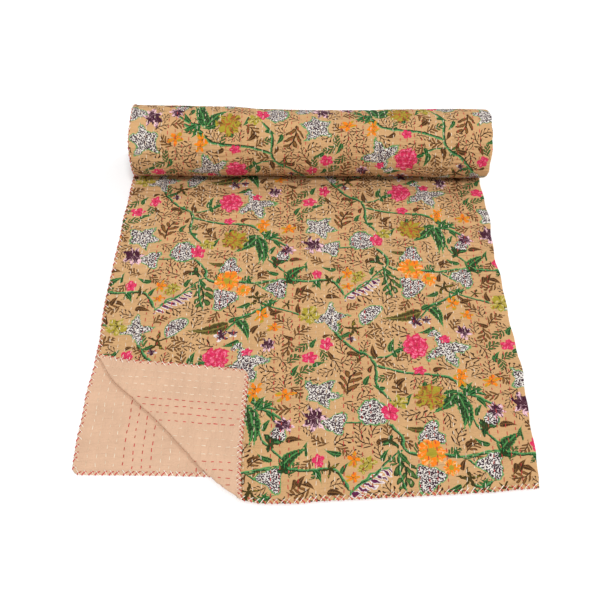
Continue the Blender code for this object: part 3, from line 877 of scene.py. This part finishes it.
def lay_vines(mesh, middles, corners, face_of):
    """Gives every face the nearest vine: length along it and distance to its left, in
    millimetres, worked out at each corner."""
    lines = [smooth_line(points) for _, *points in VINES]
    best = np.full(len(middles), np.inf)
    chosen = np.zeros(len(middles), int)
    shift = np.zeros((len(middles), 2))
    for vine, line in enumerate(lines):
        moved = nearest_repeat(middles, line.mean(axis=0))
        away = np.full(len(middles), np.inf)
        for point in line:
            away = np.minimum(away, np.linalg.norm(middles - moved - point, axis=1))
        nearer = away < best
        best[nearer], chosen[nearer], shift[nearer] = away[nearer], vine, moved[nearer]
    values = np.tile((0.0, 50.0, 1.0), (len(corners), 1))
    for vine, line in enumerate(lines):
        near = np.flatnonzero(((chosen == vine) & (best < VINE_REACH))[face_of])
        offset = corners[near] - shift[face_of[near]]
        along = np.r_[0.0, np.cumsum(np.linalg.norm(np.diff(line, axis=0), axis=1))]
        nearest = np.full(len(near), np.inf)
        for start, end, length in zip(line, line[1:], along):
            span = end - start
            share = np.clip((offset - start) @ span / (span @ span), 0.0, 1.0)
            gap = offset - start - share[:, None] * span
            away = np.linalg.norm(gap, axis=1)
            left = np.sign(span[0] * gap[:, 1] - span[1] * gap[:, 0])
            nearer = away < nearest
            nearest[nearer] = away[nearer]
            reach = length + share * np.linalg.norm(span)
            values[near[nearer], 0] = reach[nearer]
            values[near[nearer], 1] = (left * away)[nearer]
            values[near[nearer], 2] = VINES[vine][0]
    keep_attribute(mesh, "vine_place", "CORNER", values)


def lay_print(mesh, laid):
    """Keeps the print's layout on the cloth's faces, from the corners' cloth coordinates.
    The print runs true under the slanting front hem, and a little on behind the roll."""
    _, slanted, _, _ = open_plan(laid[:, 0], laid[:, 1])
    behind = PRINT_BEHIND * eased((laid[:, 1] - 0.78) / 0.18)
    corners = np.stack([PRINT_FROM_FOLD - 1000.0 * laid[:, 0], 1000.0 * slanted + behind], 1)
    total = values_of(mesh.polygons, "loop_total", 1, np.int32)
    face_of = np.repeat(np.arange(len(total)), total)
    middles = np.stack([np.bincount(face_of, corners[:, k]) / total for k in (0, 1)], 1)
    lay_vines(mesh, middles, corners, face_of)
    layers = (
        ("flower", FLOWERS, FLOWERS_LAID, ("shape", "rings", "tints", "petal", "rim", "heart")),
        ("speckled", SPECKLED, SPECKLED_LAID, ("shape",)),
        ("leaf", LEAVES, LEAVES_LAID, ("light", "deep")),
        ("sprig", SPRIGS, SPRIGS_LAID, ("shape", "colour", "tip")),
    )
    for name, kinds, table, features in layers:
        rows, number = lay_motifs(mesh, name, kinds, table, middles, corners, face_of)
        for place_in, feature in enumerate(features, 1):
            values = np.array([row[place_in] for row in rows], float)
            keep_attribute(mesh, f"{name}_{feature}", "FACE", values[number])


# ---- Materials -------------------------------------------------------------------------------
# Waves of the noises to a metre of cloth, across and along the rows.
SLUBS = (900.0, 90.0, 1.0)
RIPPLED = (24.0, 112.0, 1.0)
CREASED = (120.0, 300.0, 1.0)
WEAVE = (4200.0, 4200.0, 1.0)
FLECKS = (430.0, 430.0, 1.0)


class Value:
    """A number or vector in a material's node tree. Sums on it add Math nodes."""

    def __init__(self, nodes, socket):
        self.nodes, self.socket = nodes, socket

    def math(self, operation, *others, first=None):
        values = (self, *others) if first is None else (first, self, *others)
        sockets = dict(enumerate(values))
        return self.nodes.node("ShaderNodeMath", {"operation": operation}, sockets)

    def __add__(self, other):
        return self.math("ADD", other)

    def __sub__(self, other):
        return self.math("SUBTRACT", other)

    def __mul__(self, other):
        return self.math("MULTIPLY", other)

    def __truediv__(self, other):
        return self.math("DIVIDE", other)

    def __rsub__(self, other):
        return self.math("SUBTRACT", first=other)

    __radd__ = __add__
    __rmul__ = __mul__

    def __abs__(self):
        return self.math("ABSOLUTE")

    def sin(self):
        return self.math("SINE")

    def cos(self):
        return self.math("COSINE")

    def root(self):
        return self.math("SQRT")

    def fraction(self):
        return self.math("FRACT")

    def lower(self, other):
        return self.math("MINIMUM", other)

    def higher(self, other):
        return self.math("MAXIMUM", other)

    def angle(self, other):
        return self.math("ARCTAN2", other)

    def eased(self, low, high):
        """0 at low, 1 at high, with a soft step between. High may be below low."""
        settings = {"interpolation_type": "SMOOTHSTEP"}
        if low < high:
            sockets = {0: self, 1: low, 2: high}
        else:
            sockets = {0: self, 1: high, 2: low, 3: 1.0, 4: 0.0}
        return self.nodes.node("ShaderNodeMapRange", settings, sockets)


class Nodes:
    """A new material's nodes, added one at a time."""

    def __init__(self, name):
        self.material = bpy.data.materials.new(name)
        self.material.use_nodes = True
        self.tree = self.material.node_tree
        self.shader = self.tree.nodes["Principled BSDF"]

    def node(self, kind, settings, sockets, output=0):
        """Adds a node with its settings and inputs, and gives one of its outputs."""
        made = self.tree.nodes.new(kind)
        for key, value in settings.items():
            setattr(made, key, value)
        for key, value in sockets.items():
            if isinstance(value, Value):
                self.tree.links.new(value.socket, made.inputs[key])
            else:
                made.inputs[key].default_value = value
        return Value(self, made.outputs[output])

    def parts(self, vector):
        """The three numbers of a vector or colour."""
        first = self.node("ShaderNodeSeparateXYZ", {}, {0: vector})
        return [Value(self, output) for output in first.socket.node.outputs]

    def attribute(self, name, colour=False):
        """A value kept on the mesh, as a vector or as a colour."""
        settings = {"attribute_type": "GEOMETRY", "attribute_name": name}
        return self.node("ShaderNodeAttribute", settings, {}, 0 if colour else 1)

    def scaled(self, vector, by):
        """A vector multiplied by another, number by number."""
        settings = {"operation": "MULTIPLY"}
        return self.node("ShaderNodeVectorMath", settings, {0: vector, 1: by})

    def noise(self, vector, scale, detail=2.0, rough=0.5, output=0):
        """Soft noise about 0.5: one number, or with output 1 a colour of three."""
        sockets = {"Vector": vector, "Scale": scale, "Detail": detail, "Roughness": rough}
        return self.node("ShaderNodeTexNoise", {}, sockets, output)

    def mix(self, share, first, second):
        """Colour between two others by a share."""
        first = (*first, 1.0) if isinstance(first, tuple) else first
        second = (*second, 1.0) if isinstance(second, tuple) else second
        settings = {"data_type": "RGBA"}
        return self.node("ShaderNodeMix", settings, {0: share, 6: first, 7: second}, 2)

    def bump(self, height, strength, distance):
        """Surface directions for a height."""
        sockets = {"Height": height, "Strength": strength, "Distance": distance}
        return self.node("ShaderNodeBump", {}, sockets)

    def feed(self, name, value):
        """Sets an input of the shader to a number or colour, or links a value to it."""
        if isinstance(value, Value):
            self.tree.links.new(value.socket, self.shader.inputs[name])
        else:
            self.shader.inputs[name].default_value = value


def woven_bump(nodes, cloth, depth):
    """Ripples and fine creases across the rows, and the plain weave's threads, as a bump.
    The ripples deepen towards the roll."""
    ripples = nodes.noise(nodes.scaled(cloth, RIPPLED), 1.0, 2.0, 0.55)
    creases = nodes.noise(nodes.scaled(cloth, CREASED), 1.0, 2.0, 0.6)
    weave_c, weave_s, _ = nodes.parts(nodes.scaled(cloth, WEAVE))
    weave = weave_c.sin() * weave_s.sin()
    _, along, _ = nodes.parts(cloth)
    towards_roll = along.eased(0.15, 0.60) * 1.2 + 0.8
    height = ripples * towards_roll + creases * 0.45 + weave * 0.04
    return nodes.bump(height, 1.0, depth)


def cotton(name, colour, roughness, depth):
    """One soft colour with faint slubs and a little unevenness from washing, over ripples
    and weave. Gives the nodes, the cloth's map, its slubs and its colour."""
    nodes = Nodes(name)
    cloth = nodes.node("ShaderNodeUVMap", {"uv_map": "Cloth"}, {})
    slubs = nodes.noise(nodes.scaled(cloth, SLUBS), 1.0)
    patches = nodes.noise(cloth, 22.0, 3.0)
    shade = (slubs * 0.5 + patches * 0.9).eased(0.35, 1.05)
    dark = tuple(0.86 * value for value in colour)
    nodes.feed("Roughness", roughness)
    nodes.feed("Sheen Weight", 0.03)
    nodes.feed("Specular IOR Level", 0.1)
    nodes.feed("Normal", woven_bump(nodes, cloth, depth))
    return nodes, cloth, slubs, nodes.mix(shade, dark, tuple(colour))


def plain_cotton(colours):
    """The plain cloth of the backing."""
    nodes, _, _, colour = cotton("plain_cotton_cloth", colours.backing, 0.9, 0.0022)
    nodes.feed("Base Color", colour)
    return nodes.material


def petals_round(nodes, at, shape, wobble, bow=0.0):
    """Petals or lobes round a centre. Gives the share of the way out to their edge, which
    swings with the cosine (round petals) or one less the sine (pointed ones) of the angle,
    how near a petal's middle the point is, and its distance, x and angle from the centre.
    The whole shape may be bowed."""
    x, y, _ = nodes.parts(at)
    x, y = x + wobble[0], y + wobble[1] + x * x * bow
    petals, depth, pointed = nodes.parts(shape)
    out = (x * x + y * y).root()
    angle = y.angle(x)
    half_angle = angle * petals * 0.5
    blunt = abs(half_angle.cos())
    sharp = 1.0 - abs(half_angle.sin())
    lobe = blunt + (sharp - blunt) * pointed
    edge = 1.0 - depth * (1.0 - lobe)
    return out / edge, lobe, out, x, angle


def flower_layer(nodes, wobble):
    """Flowers: rings of petals with paler rims, darker between the petals and streaked from
    the centre, which is a small disc."""
    at = nodes.attribute("flower_place")
    shape = nodes.attribute("flower_shape")
    share, lobe, out, x, angle = petals_round(nodes, at, shape, wobble)
    rings, centre, rims = nodes.parts(nodes.attribute("flower_rings"))
    streaking, fading, _ = nodes.parts(nodes.attribute("flower_tints"))
    round_it = nodes.node("ShaderNodeCombineXYZ", {}, {0: angle * 4.0, 1: out * 2.5, 2: x})
    streaks = (nodes.noise(round_it, 1.0, 1.0) - 0.5) * streaking * 1.6
    ring = (share * rings * 0.999).fraction()
    pale = ring.eased(0.5, 0.95) * rims + (0.1 - x * 0.9).higher(0.0) * fading
    petal = nodes.attribute("flower_petal", colour=True)
    rim = nodes.attribute("flower_rim", colour=True)
    heart = nodes.attribute("flower_heart", colour=True)
    colour = nodes.mix((pale + streaks).eased(0.22, 0.72), petal, rim)
    between = lobe.eased(0.60, 0.16) * ring.eased(0.10, 0.35)
    colour = nodes.mix(between * 0.8, colour, heart)
    colour = nodes.mix((out - centre).eased(0.05, -0.05), colour, heart)
    return share.eased(1.03, 0.97), colour


def speckled_layer(nodes, cloth, wobble):
    """Pale leaves flecked with dark purple inside a green outline."""
    at = nodes.attribute("speckled_place")
    shape = nodes.attribute("speckled_shape")
    sway = [move * 0.6 for move in wobble]
    share = petals_round(nodes, at, shape, sway, 0.22)[0]
    fine = nodes.scaled(cloth, FLECKS)
    flecks = nodes.node("ShaderNodeTexVoronoi", {}, {"Vector": fine, "Scale": 1.0})
    broken = nodes.noise(fine, 0.9, 1.0)
    dark = (flecks + (broken - 0.5) * 1.3).eased(0.62, 0.52)
    colour = nodes.mix(dark, (0.76, 0.71, 0.65), (0.028, 0.008, 0.024))
    colour = nodes.mix(share.eased(0.86, 0.93), colour, (0.105, 0.30, 0.095))
    return share.eased(1.03, 0.97), colour


def leaf_layer(nodes, cloth, wobble):
    """Leaves: bowed, an arch of a sine on each side of the midrib, dark scales inside
    between slanting veins and a bright rim."""
    x, y, _ = nodes.parts(nodes.attribute("leaf_place"))
    x, y = x + wobble[0] * 0.3, y + wobble[1] * 0.5
    y = y + (x * x - 0.35) * 0.45
    way = ((x + 1.0) * 0.5).higher(0.0).lower(1.0)
    teeth = (way * 60.0).sin() * 0.05
    width = (way.root() * math.pi).sin() * 0.88 + teeth
    share = abs(y) / width.higher(0.02)
    veins = ((way * 8.0 - abs(y) * 1.1).fraction() - 0.5).eased(0.05, 0.30)
    scales = nodes.noise(nodes.scaled(cloth, FLECKS), 1.0, 1.0)
    shade = (scales.eased(0.30, 0.44) + y.eased(0.5, -0.6) * 0.3 - veins * 0.4).higher(0.0)
    shade = shade.lower(1.0) * share.eased(0.95, 0.72) * abs(y).eased(0.05, 0.12)
    light = nodes.attribute("leaf_light", colour=True)
    deep = nodes.attribute("leaf_deep", colour=True)
    return share.eased(1.04, 0.96), nodes.mix(shade, light, deep)


def sprig_layer(nodes, wobble):
    """Sprigs: leaflets in slanting cells along a bowed stem, each an arch of a root with a
    darker or paler rim, or a stalk with a bud at its end."""
    x, y, _ = nodes.parts(nodes.attribute("sprig_place"))
    x, y = x + wobble[0] * 0.6, y + wobble[1] * 0.8
    y = y + (x * x - 0.4) * 0.4
    pairs, width, bud = nodes.parts(nodes.attribute("sprig_shape"))
    side = y.math("GREATER_THAN", 0.0)
    reach = (1.02 - x * x).higher(0.03).root()
    way = abs(y) / reach
    cell = ((x + 1.0) * 0.5 * pairs - abs(y) * 1.1 + side * 0.5).fraction() - 0.5
    leaflet = (way * (1.0 - way) * 4.0).higher(0.0).root() * width
    stalk = way.eased(0.55, 0.85) * way.eased(1.05, 0.9) * 0.20 + 0.078
    leaflet = leaflet + (stalk * way.eased(1.02, 0.98) - leaflet) * bud.higher(0.0)
    leaflet = leaflet * (bud.lower(0.0) * side + 1.0)
    mask = (abs(cell) - leaflet).eased(0.03, -0.03) * way.eased(1.02, 0.97)
    stem = abs(y).eased(0.105, 0.060) * abs(x).eased(1.0, 0.96)
    colour = nodes.attribute("sprig_colour", colour=True)
    tip = nodes.attribute("sprig_tip", colour=True)
    rim = (abs(cell) / leaflet.higher(0.02)).eased(0.35, 0.80)
    colour = nodes.mix(rim.higher(way.eased(0.7, 0.95)).higher(stem), colour, tip)
    colour = nodes.mix(stem * (bud.lower(0.0) * -1.0), colour, GREEN)
    return mask.higher(stem), colour


def vine_layer(nodes, wobble, streaks):
    """Vines: a band about a line, pale on one side and dark on the other."""
    along, aside, half = nodes.parts(nodes.attribute("vine_place"))
    aside = aside + wobble[0] * 7.0
    half = half * (1.22 + (along * 0.21).sin() * 0.15)
    share = aside / half.higher(0.1)
    lit = (share * 0.8 + (streaks - 0.5) * 2.5).eased(-0.35, 0.5)
    colour = nodes.mix(lit, (0.006, 0.038, 0.012), (0.090, 0.31, 0.105))
    return abs(share).eased(1.05, 0.9), colour


def printed_cotton(colours):
    """A tan ground under sprigs, vines, leaves and flowers. Every face of the cloth carries
    its place in the nearest motif of each kind. A slow sway keeps outlines from being too
    true, and a finer one is added for flowers and speckled leaves."""
    nodes, cloth, slubs, colour = cotton("printed_cotton_cloth", colours.ground, 0.88, 0.0036)
    drift = nodes.parts(nodes.noise(cloth, 62.0, 3.0, 0.6, output=1))
    wobble = [(drift[0] - 0.5) * 0.8, (drift[1] - 0.5) * 0.8]
    finer = nodes.parts(nodes.noise(cloth, 190.0, 2.0, 0.6, output=1))
    shaky = [sway + (fine - 0.5) * 0.28 for sway, fine in zip(wobble, finer)]
    layers = (
        sprig_layer(nodes, wobble),
        vine_layer(nodes, wobble, nodes.noise(cloth, 420.0, 2.0)),
        leaf_layer(nodes, cloth, wobble),
        speckled_layer(nodes, cloth, shaky),
        flower_layer(nodes, shaky),
    )
    for mask, ink in layers:
        colour = nodes.mix(mask * (0.97 + (slubs - 0.5) * 0.2).lower(1.0), colour, ink)
    nodes.feed("Base Color", colour)
    return nodes.material


def sewing_thread(name, colour, faded):
    """Two-ply thread: slanting stripes of painted light and shade along it from the twisted
    plies, also given as a bump, and each stitch between the full colour and a faded one by its
    tone."""
    nodes = Nodes(name)
    twist = nodes.node("ShaderNodeUVMap", {"uv_map": "Thread"}, {})
    along, share, _ = nodes.parts(twist)
    ply = ((along + share) * TAU).sin() * 0.5 + 0.5
    worn = nodes.noise(nodes.node("ShaderNodeTexCoord", {}, {}, 3), 240.0)
    tone, _, _ = nodes.parts(nodes.attribute("tone"))
    # The twist's stripes are painted shade and light in the colour itself, on top of the bump
    # below.
    shade = (tone + (worn - 0.5) * 0.5 + (ply - 0.5) * 0.25).higher(0.0).lower(1.0)
    nodes.feed("Base Color", nodes.mix(shade, tuple(faded), tuple(colour)))
    nodes.feed("Roughness", 0.7)
    nodes.feed("Normal", nodes.bump(ply, 0.5, 0.0003))
    return nodes.material


# ---- The panel's values ----------------------------------------------------------------------
def size_property(name, description, default, least=0.0):
    """A length in metres that a user may change."""
    return FloatProperty(
        name=name, description=description, default=default, min=least, unit="LENGTH",
        precision=5,
    )


def colour_property(name, description, default):
    """A colour that a user may change."""
    return FloatVectorProperty(
        name=name, description=description, default=default, subtype="COLOR",
        size=3, min=0.0, max=1.0,
    )


class QuiltSizes(bpy.types.PropertyGroup):
    puff: size_property("Puff", "How far the cloth puffs up between stitches", 0.00035)
    trough: size_property("Trough", "How deep a stitch presses the cloth", 0.00075)
    ripple: size_property("Ripple", "Height of the small ripples across the rows", 0.00060)
    wave: size_property("Wave", "Height of the slow waves of the flat half", 0.0011)
    thread: size_property("Thread", "Radius of the sewing thread", 0.00076, 0.0001)


class QuiltColours(bpy.types.PropertyGroup):
    ground: colour_property("Ground", "Ground of the printed cloth", (0.614, 0.364, 0.171))
    backing: colour_property("Backing", "The plain cloth", (0.659, 0.427, 0.288))
    cream: colour_property("Cream", "Cream thread of the rows", (0.80, 0.69, 0.54))
    pale: colour_property("Pale", "Cream thread of the hems", (0.90, 0.83, 0.72))
    red: colour_property("Red", "Red thread", (0.56, 0.020, 0.032))
    faded_cream: colour_property("Faded Cream", "Cream thread, worn", (0.61, 0.43, 0.28))
    faded_red: colour_property("Faded Red", "Red thread, darkened", (0.38, 0.062, 0.026))


# ---- Pieces ----------------------------------------------------------------------------------
def finish_piece(piece, material):
    """Gives a piece its material and slot, on the quilt's one body."""
    piece.data.materials.append(material)
    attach(piece, "root")


class QUILT_OT_printed_cloth(bpy.types.Operator):
    """Lays the printed cloth, which covers the folded quilt's outside"""

    bl_idname = "quilt.printed_cloth"
    bl_label = "Printed Cloth"

    def execute(self, context):
        scene = context.scene
        fine, coarse, hidden = MESH_STEP, COARSE_STEP, HIDDEN_STEP
        bands = [
            (across_columns(coarse, fine), front_rows(BEFORE_ROLL[0])),
            (across_columns(fine, fine), steps(BEFORE_ROLL[1], UNDER_ROLL[0], fine)),
            (across_columns(fine, hidden), roll_rows(UNDER_ROLL[1], LAST_SHOWN, SHOWN_PER_TURN)),
            (across_columns(hidden, hidden), last_rows(LAST_SHOWN + 0.008)),
        ]
        piece, laid = lay_cloth("printed_cloth_sheet", bands, 1.0, scene.quilt_sizes)
        lay_print(piece.data, laid)
        finish_piece(piece, printed_cotton(scene.quilt_colours))
        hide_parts("printed_cloth")
        return {"FINISHED"}


class QUILT_OT_plain_backing(bpy.types.Operator):
    """Lays the plain backing, which shows at the turned corner and under it"""

    bl_idname = "quilt.plain_backing"
    bl_label = "Plain Backing"

    def execute(self, context):
        scene = context.scene
        shown = steps(FOLDED - PAST_HEM, 0.430, MESH_STEP)
        half = np.r_[FOLDED - HEM_STATIONS, shown, steps(0.400, BEND_HALF, 0.03)]
        hidden = np.r_[steps(PAST_TURN[1], 0.790, 0.02), last_rows(UNDER_ROLL[0])]
        bands = [
            (all_columns(half, half), front_rows(PAST_TURN[0])),
            (across_columns(HIDDEN_STEP, HIDDEN_STEP), hidden),
        ]
        piece, _ = lay_cloth("plain_backing_sheet", bands, -1.0, scene.quilt_sizes)
        finish_piece(piece, plain_cotton(scene.quilt_colours))
        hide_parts("plain_backing")
        return {"FINISHED"}


def shown_stitches(half, side):
    """Which running stitches of a half and side of the quilt can be seen, with their rows,
    places, half lengths, slants and strays."""
    index = 1 if half > 0 else 0
    row, number = np.meshgrid(np.arange(ROWS), np.arange(STITCHES), indexing="ij")
    row, number = row.ravel(), number.ravel()
    table = {k: STITCH_TABLE[k][index, row, number] for k in ("along", "half", "slant", "aside")}
    if side < 0:
        table["along"] = table["along"] + 0.5 * STITCH_TABLE["pitch"][index, row, 0]
    inward = FIRST_ROW + ROW_GAP * row + row_wander(index, row, table["along"])
    c = half * (FOLDED - inward)
    s = table["along"]
    x, slanted, _, _ = open_plan(c, s)
    over = past_turn(x, slanted)
    # Limits of length are those of the roll and of the turned corner, with a little over.
    if side > 0 and half > 0:
        shown = (s < 0.79) & (over < 0.004)
    elif side > 0:
        shown = (s > 0.76) & (s < LAST_SHOWN)
    elif half > 0:
        shown = over > -0.002
    else:
        shown = (over > -0.03) & (s < 0.34)
    shown &= (s > 0.009) & (s < QUILT_LENGTH - 0.01)
    return row[shown], c[shown], {k: v[shown] for k, v in table.items()}


# A running stitch's way up through the cloth and down again: share of its half length, and
# lift over the cloth in thread radii.
STITCH_ALONG = np.array([-1.0, -0.62, 0.62, 1.0])
STITCH_LIFT = np.array([-0.9, 0.55, 0.55, -0.9])


class QUILT_OT_running_stitches(bpy.types.Operator):
    """Sews the rows of running stitches, four of cream thread and four of red by turns"""

    bl_idname = "quilt.running_stitches"
    bl_label = "Running Stitches"

    def execute(self, context):
        sizes, colours = context.scene.quilt_sizes, context.scene.quilt_colours
        lift = STITCH_LIFT * sizes.thread
        found = {"cream": [], "red": []}
        draw = np.random.default_rng(43)
        for half, side in ((1, 1), (-1, 1), (1, -1), (-1, -1)):
            row, c, table = shown_stitches(half, side)
            reach = table["half"][:, None] * STITCH_ALONG
            s = table["along"][:, None] + reach
            c = c[:, None] + table["aside"][:, None] + reach * table["slant"][:, None]
            face = relief(c, s, float(side), sizes)
            centres = place(c, s, face + side * lift)
            outward = place(c, s, face + side * 0.001) - place(c, s, face)
            red = (row // ROWS_TOGETHER) % 2 == 1
            tone = draw.uniform(0.1, 1.0, len(row)) * np.where(red | (side > 0), 1.0, 0.95)
            found["cream"].append((centres[~red], outward[~red], tone[~red]))
            found["red"].append((centres[red], outward[red], tone[red]))
        for colour, parts in found.items():
            centres, outward, tone = (np.concatenate(part) for part in zip(*parts))
            name = f"{colour}_running_stitches"
            piece = make_threads(name, centres, outward, sizes.thread, tone)
            shades = getattr(colours, colour), getattr(colours, f"faded_{colour}")
            material = sewing_thread(f"{colour}_thread_of_rows", *shades)
            finish_piece(piece, material)
        return {"FINISHED"}


# Hems that are whipped together: length, and pitch of the stitches.
HEMS = {
    "upper": (QUILT_LENGTH, HEM_PITCH),
    "lower": (QUILT_LENGTH, HEM_PITCH),
    "front": (QUILT_WIDTH, FRONT_PITCH),
}
# Their threads: lean, shift along in pitches, share of the depth, and seed.
HEM_THREADS = {"red": (1.0, 0.0, 0.70, 71), "cream": (-1.0, 0.62, 0.95, 72)}
# A hem stitch's way up over the edge: share of the slant, share of the depth in from the
# edge, and height over the quilt's middle in half layers. It goes back under it likewise.
OVER_EDGE = np.array([
    (1.0, 1.0, 0.7), (0.8, 0.85, 1.45), (0.4, 0.4, 1.5), (0.1, 0.06, 1.2), (0.0, -0.03, 0.6),
    (0.0, -0.06, 0.0),
])
ROUND_EDGE = np.r_[OVER_EDGE, OVER_EDGE[-2::-1] * (1.0, 1.0, -1.0)]


def whipped(hem, lean, shift, depth, thread, draw):
    """Centres of one thread's stitches along a hem, at its pitch with some play, and at each
    the way out from the quilt: away from its middle, and a little away from its inside."""
    length, pitch = HEMS[hem]
    count = int(length / pitch) - 1
    at = pitch * (np.arange(count) + 0.7 + shift)
    at = at + pitch * draw.uniform(-0.14, 0.14, count)
    slant = lean * draw.uniform(0.0062, 0.0088, count)
    deep = HEM_REACH * depth * draw.uniform(0.80, 1.12, count)
    if hem != "front":
        deep = deep * (1.0 - 0.6 * in_roll(at))
    along, inward, height = ROUND_EDGE.T
    run = at[:, None] + slant[:, None] * along
    inward = np.where(inward > 0, deep[:, None], HEM_REACH) * inward
    offset = np.broadcast_to(height * HALF_LAYER, run.shape)
    offset = offset + np.sign(offset) * 0.5 * thread
    if hem == "front":
        c, s = round_corners(run - FOLDED, inward)
        further_in = c, s + 0.001
    else:
        c, s = round_corners((FOLDED - inward) * (1 if hem == "upper" else -1), run)
        further_in = c - np.sign(c) * 0.001, s
    centres = place(c, s, offset)
    middle = place(c, s, np.zeros_like(offset))
    inside = place(*further_in, np.zeros_like(offset))
    return centres, centres - middle + 0.3 * (middle - inside)


class QUILT_OT_hem_stitches(bpy.types.Operator):
    """Whips the hems together, red thread slanting one way and cream the other"""

    bl_idname = "quilt.hem_stitches"
    bl_label = "Hem Stitches"

    def execute(self, context):
        sizes, colours = context.scene.quilt_sizes, context.scene.quilt_colours
        for colour, (lean, shift, depth, seed) in HEM_THREADS.items():
            draw = np.random.default_rng(seed)
            parts = [whipped(hem, lean, shift, depth, sizes.thread, draw) for hem in HEMS]
            centres, outward = (np.concatenate(part) for part in zip(*parts))
            tone = draw.uniform(0.3, 1.0, len(centres))
            name = f"{colour}_hem_stitches"
            piece = make_threads(name, centres, outward, 1.05 * sizes.thread, tone)
            full = colours.red if colour == "red" else colours.pale
            faded = getattr(colours, f"faded_{colour}")
            material = sewing_thread(f"{colour}_thread_of_hems", full, faded)
            finish_piece(piece, material)
        return {"FINISHED"}


# ---- The stage -------------------------------------------------------------------------------
FLOOR_REACH = 14.0
FOCAL_LENGTH = 47.7725  # millimetres, on a sensor 36 wide
CAMERA_PLACE = (-0.00573, -0.99976, 1.17188)
CAMERA_TURN = (math.radians(40.0), 0.0, 0.008976)
SKY_STRENGTH = 0.60
# Soft far lamps: tilt from straight above, turn, spread (in degrees) and strength.
LAMPS = {"side_light": (36.0, 120.0, 7.0, 0.60), "front_light": (31.0, 18.0, 14.0, 2.05)}


class QUILT_OT_stage(bpy.types.Operator):
    """Sets the pale floor, the soft light and the camera"""

    bl_idname = "quilt.stage"
    bl_label = "Stage"

    def execute(self, context):
        scene = context.scene
        mesh = bpy.data.meshes.new("studio_floor")
        far = FLOOR_REACH
        corners = [(-far, -far, 0.0), (far, -far, 0.0), (far, far, 0.0), (-far, far, 0.0)]
        mesh.from_pydata(corners, [], [(0, 1, 2, 3)])
        nodes = Nodes("studio_floor_paint")
        nodes.feed("Base Color", (0.93, 0.93, 0.93, 1.0))
        nodes.feed("Roughness", 0.9)
        nodes.feed("Specular IOR Level", 0.1)
        mesh.materials.append(nodes.material)
        put("studio_floor", mesh)
        for name, (tilt, turn, spread, strength) in LAMPS.items():
            lamp = bpy.data.lights.new(name, "SUN")
            lamp.angle, lamp.energy = math.radians(spread), strength
            put(name, lamp).rotation_euler = (math.radians(tilt), 0.0, math.radians(turn))
        world = bpy.data.worlds.new("studio")
        world.use_nodes = True
        sky = world.node_tree.nodes["Background"]
        sky.inputs["Color"].default_value = (1.0, 1.0, 1.0, 1.0)
        sky.inputs["Strength"].default_value = SKY_STRENGTH
        scene.world = world
        lens = bpy.data.cameras.new("camera")
        lens.sensor_width, lens.lens = 36.0, FOCAL_LENGTH
        scene.camera = put("camera", lens)
        scene.camera.location = CAMERA_PLACE
        scene.camera.rotation_euler = CAMERA_TURN
        scene.view_settings.view_transform = "Standard"
        return {"FINISHED"}


class QUILT_PT_panel(bpy.types.Panel):
    bl_label = "Kantha Quilt"
    bl_idname = "QUILT_PT_panel"
    bl_space_type = "VIEW_3D"
    bl_region_type = "UI"
    bl_category = "Quilt"

    def draw(self, context):
        for group in (context.scene.quilt_sizes, context.scene.quilt_colours):
            for name in group.bl_rna.properties.keys():
                if name not in ("rna_type", "name"):
                    self.layout.prop(group, name)
        for operator in OPERATORS:
            self.layout.operator(operator.bl_idname)


OPERATORS = (
    QUILT_OT_printed_cloth,
    QUILT_OT_plain_backing,
    QUILT_OT_running_stitches,
    QUILT_OT_hem_stitches,
    QUILT_OT_stage,
)
CLASSES = (QuiltSizes, QuiltColours, *OPERATORS, QUILT_PT_panel)


def register():
    for each in CLASSES:
        bpy.utils.register_class(each)
    bpy.types.Scene.quilt_sizes = PointerProperty(type=QuiltSizes)
    bpy.types.Scene.quilt_colours = PointerProperty(type=QuiltColours)


def unregister():
    del bpy.types.Scene.quilt_colours
    del bpy.types.Scene.quilt_sizes
    for each in reversed(CLASSES):
        bpy.utils.unregister_class(each)


def main():
    register()
    for operator in OPERATORS:
        group, name = operator.bl_idname.split(".")
        getattr(getattr(bpy.ops, group), name)()


if __name__ == "__main__":
    main()
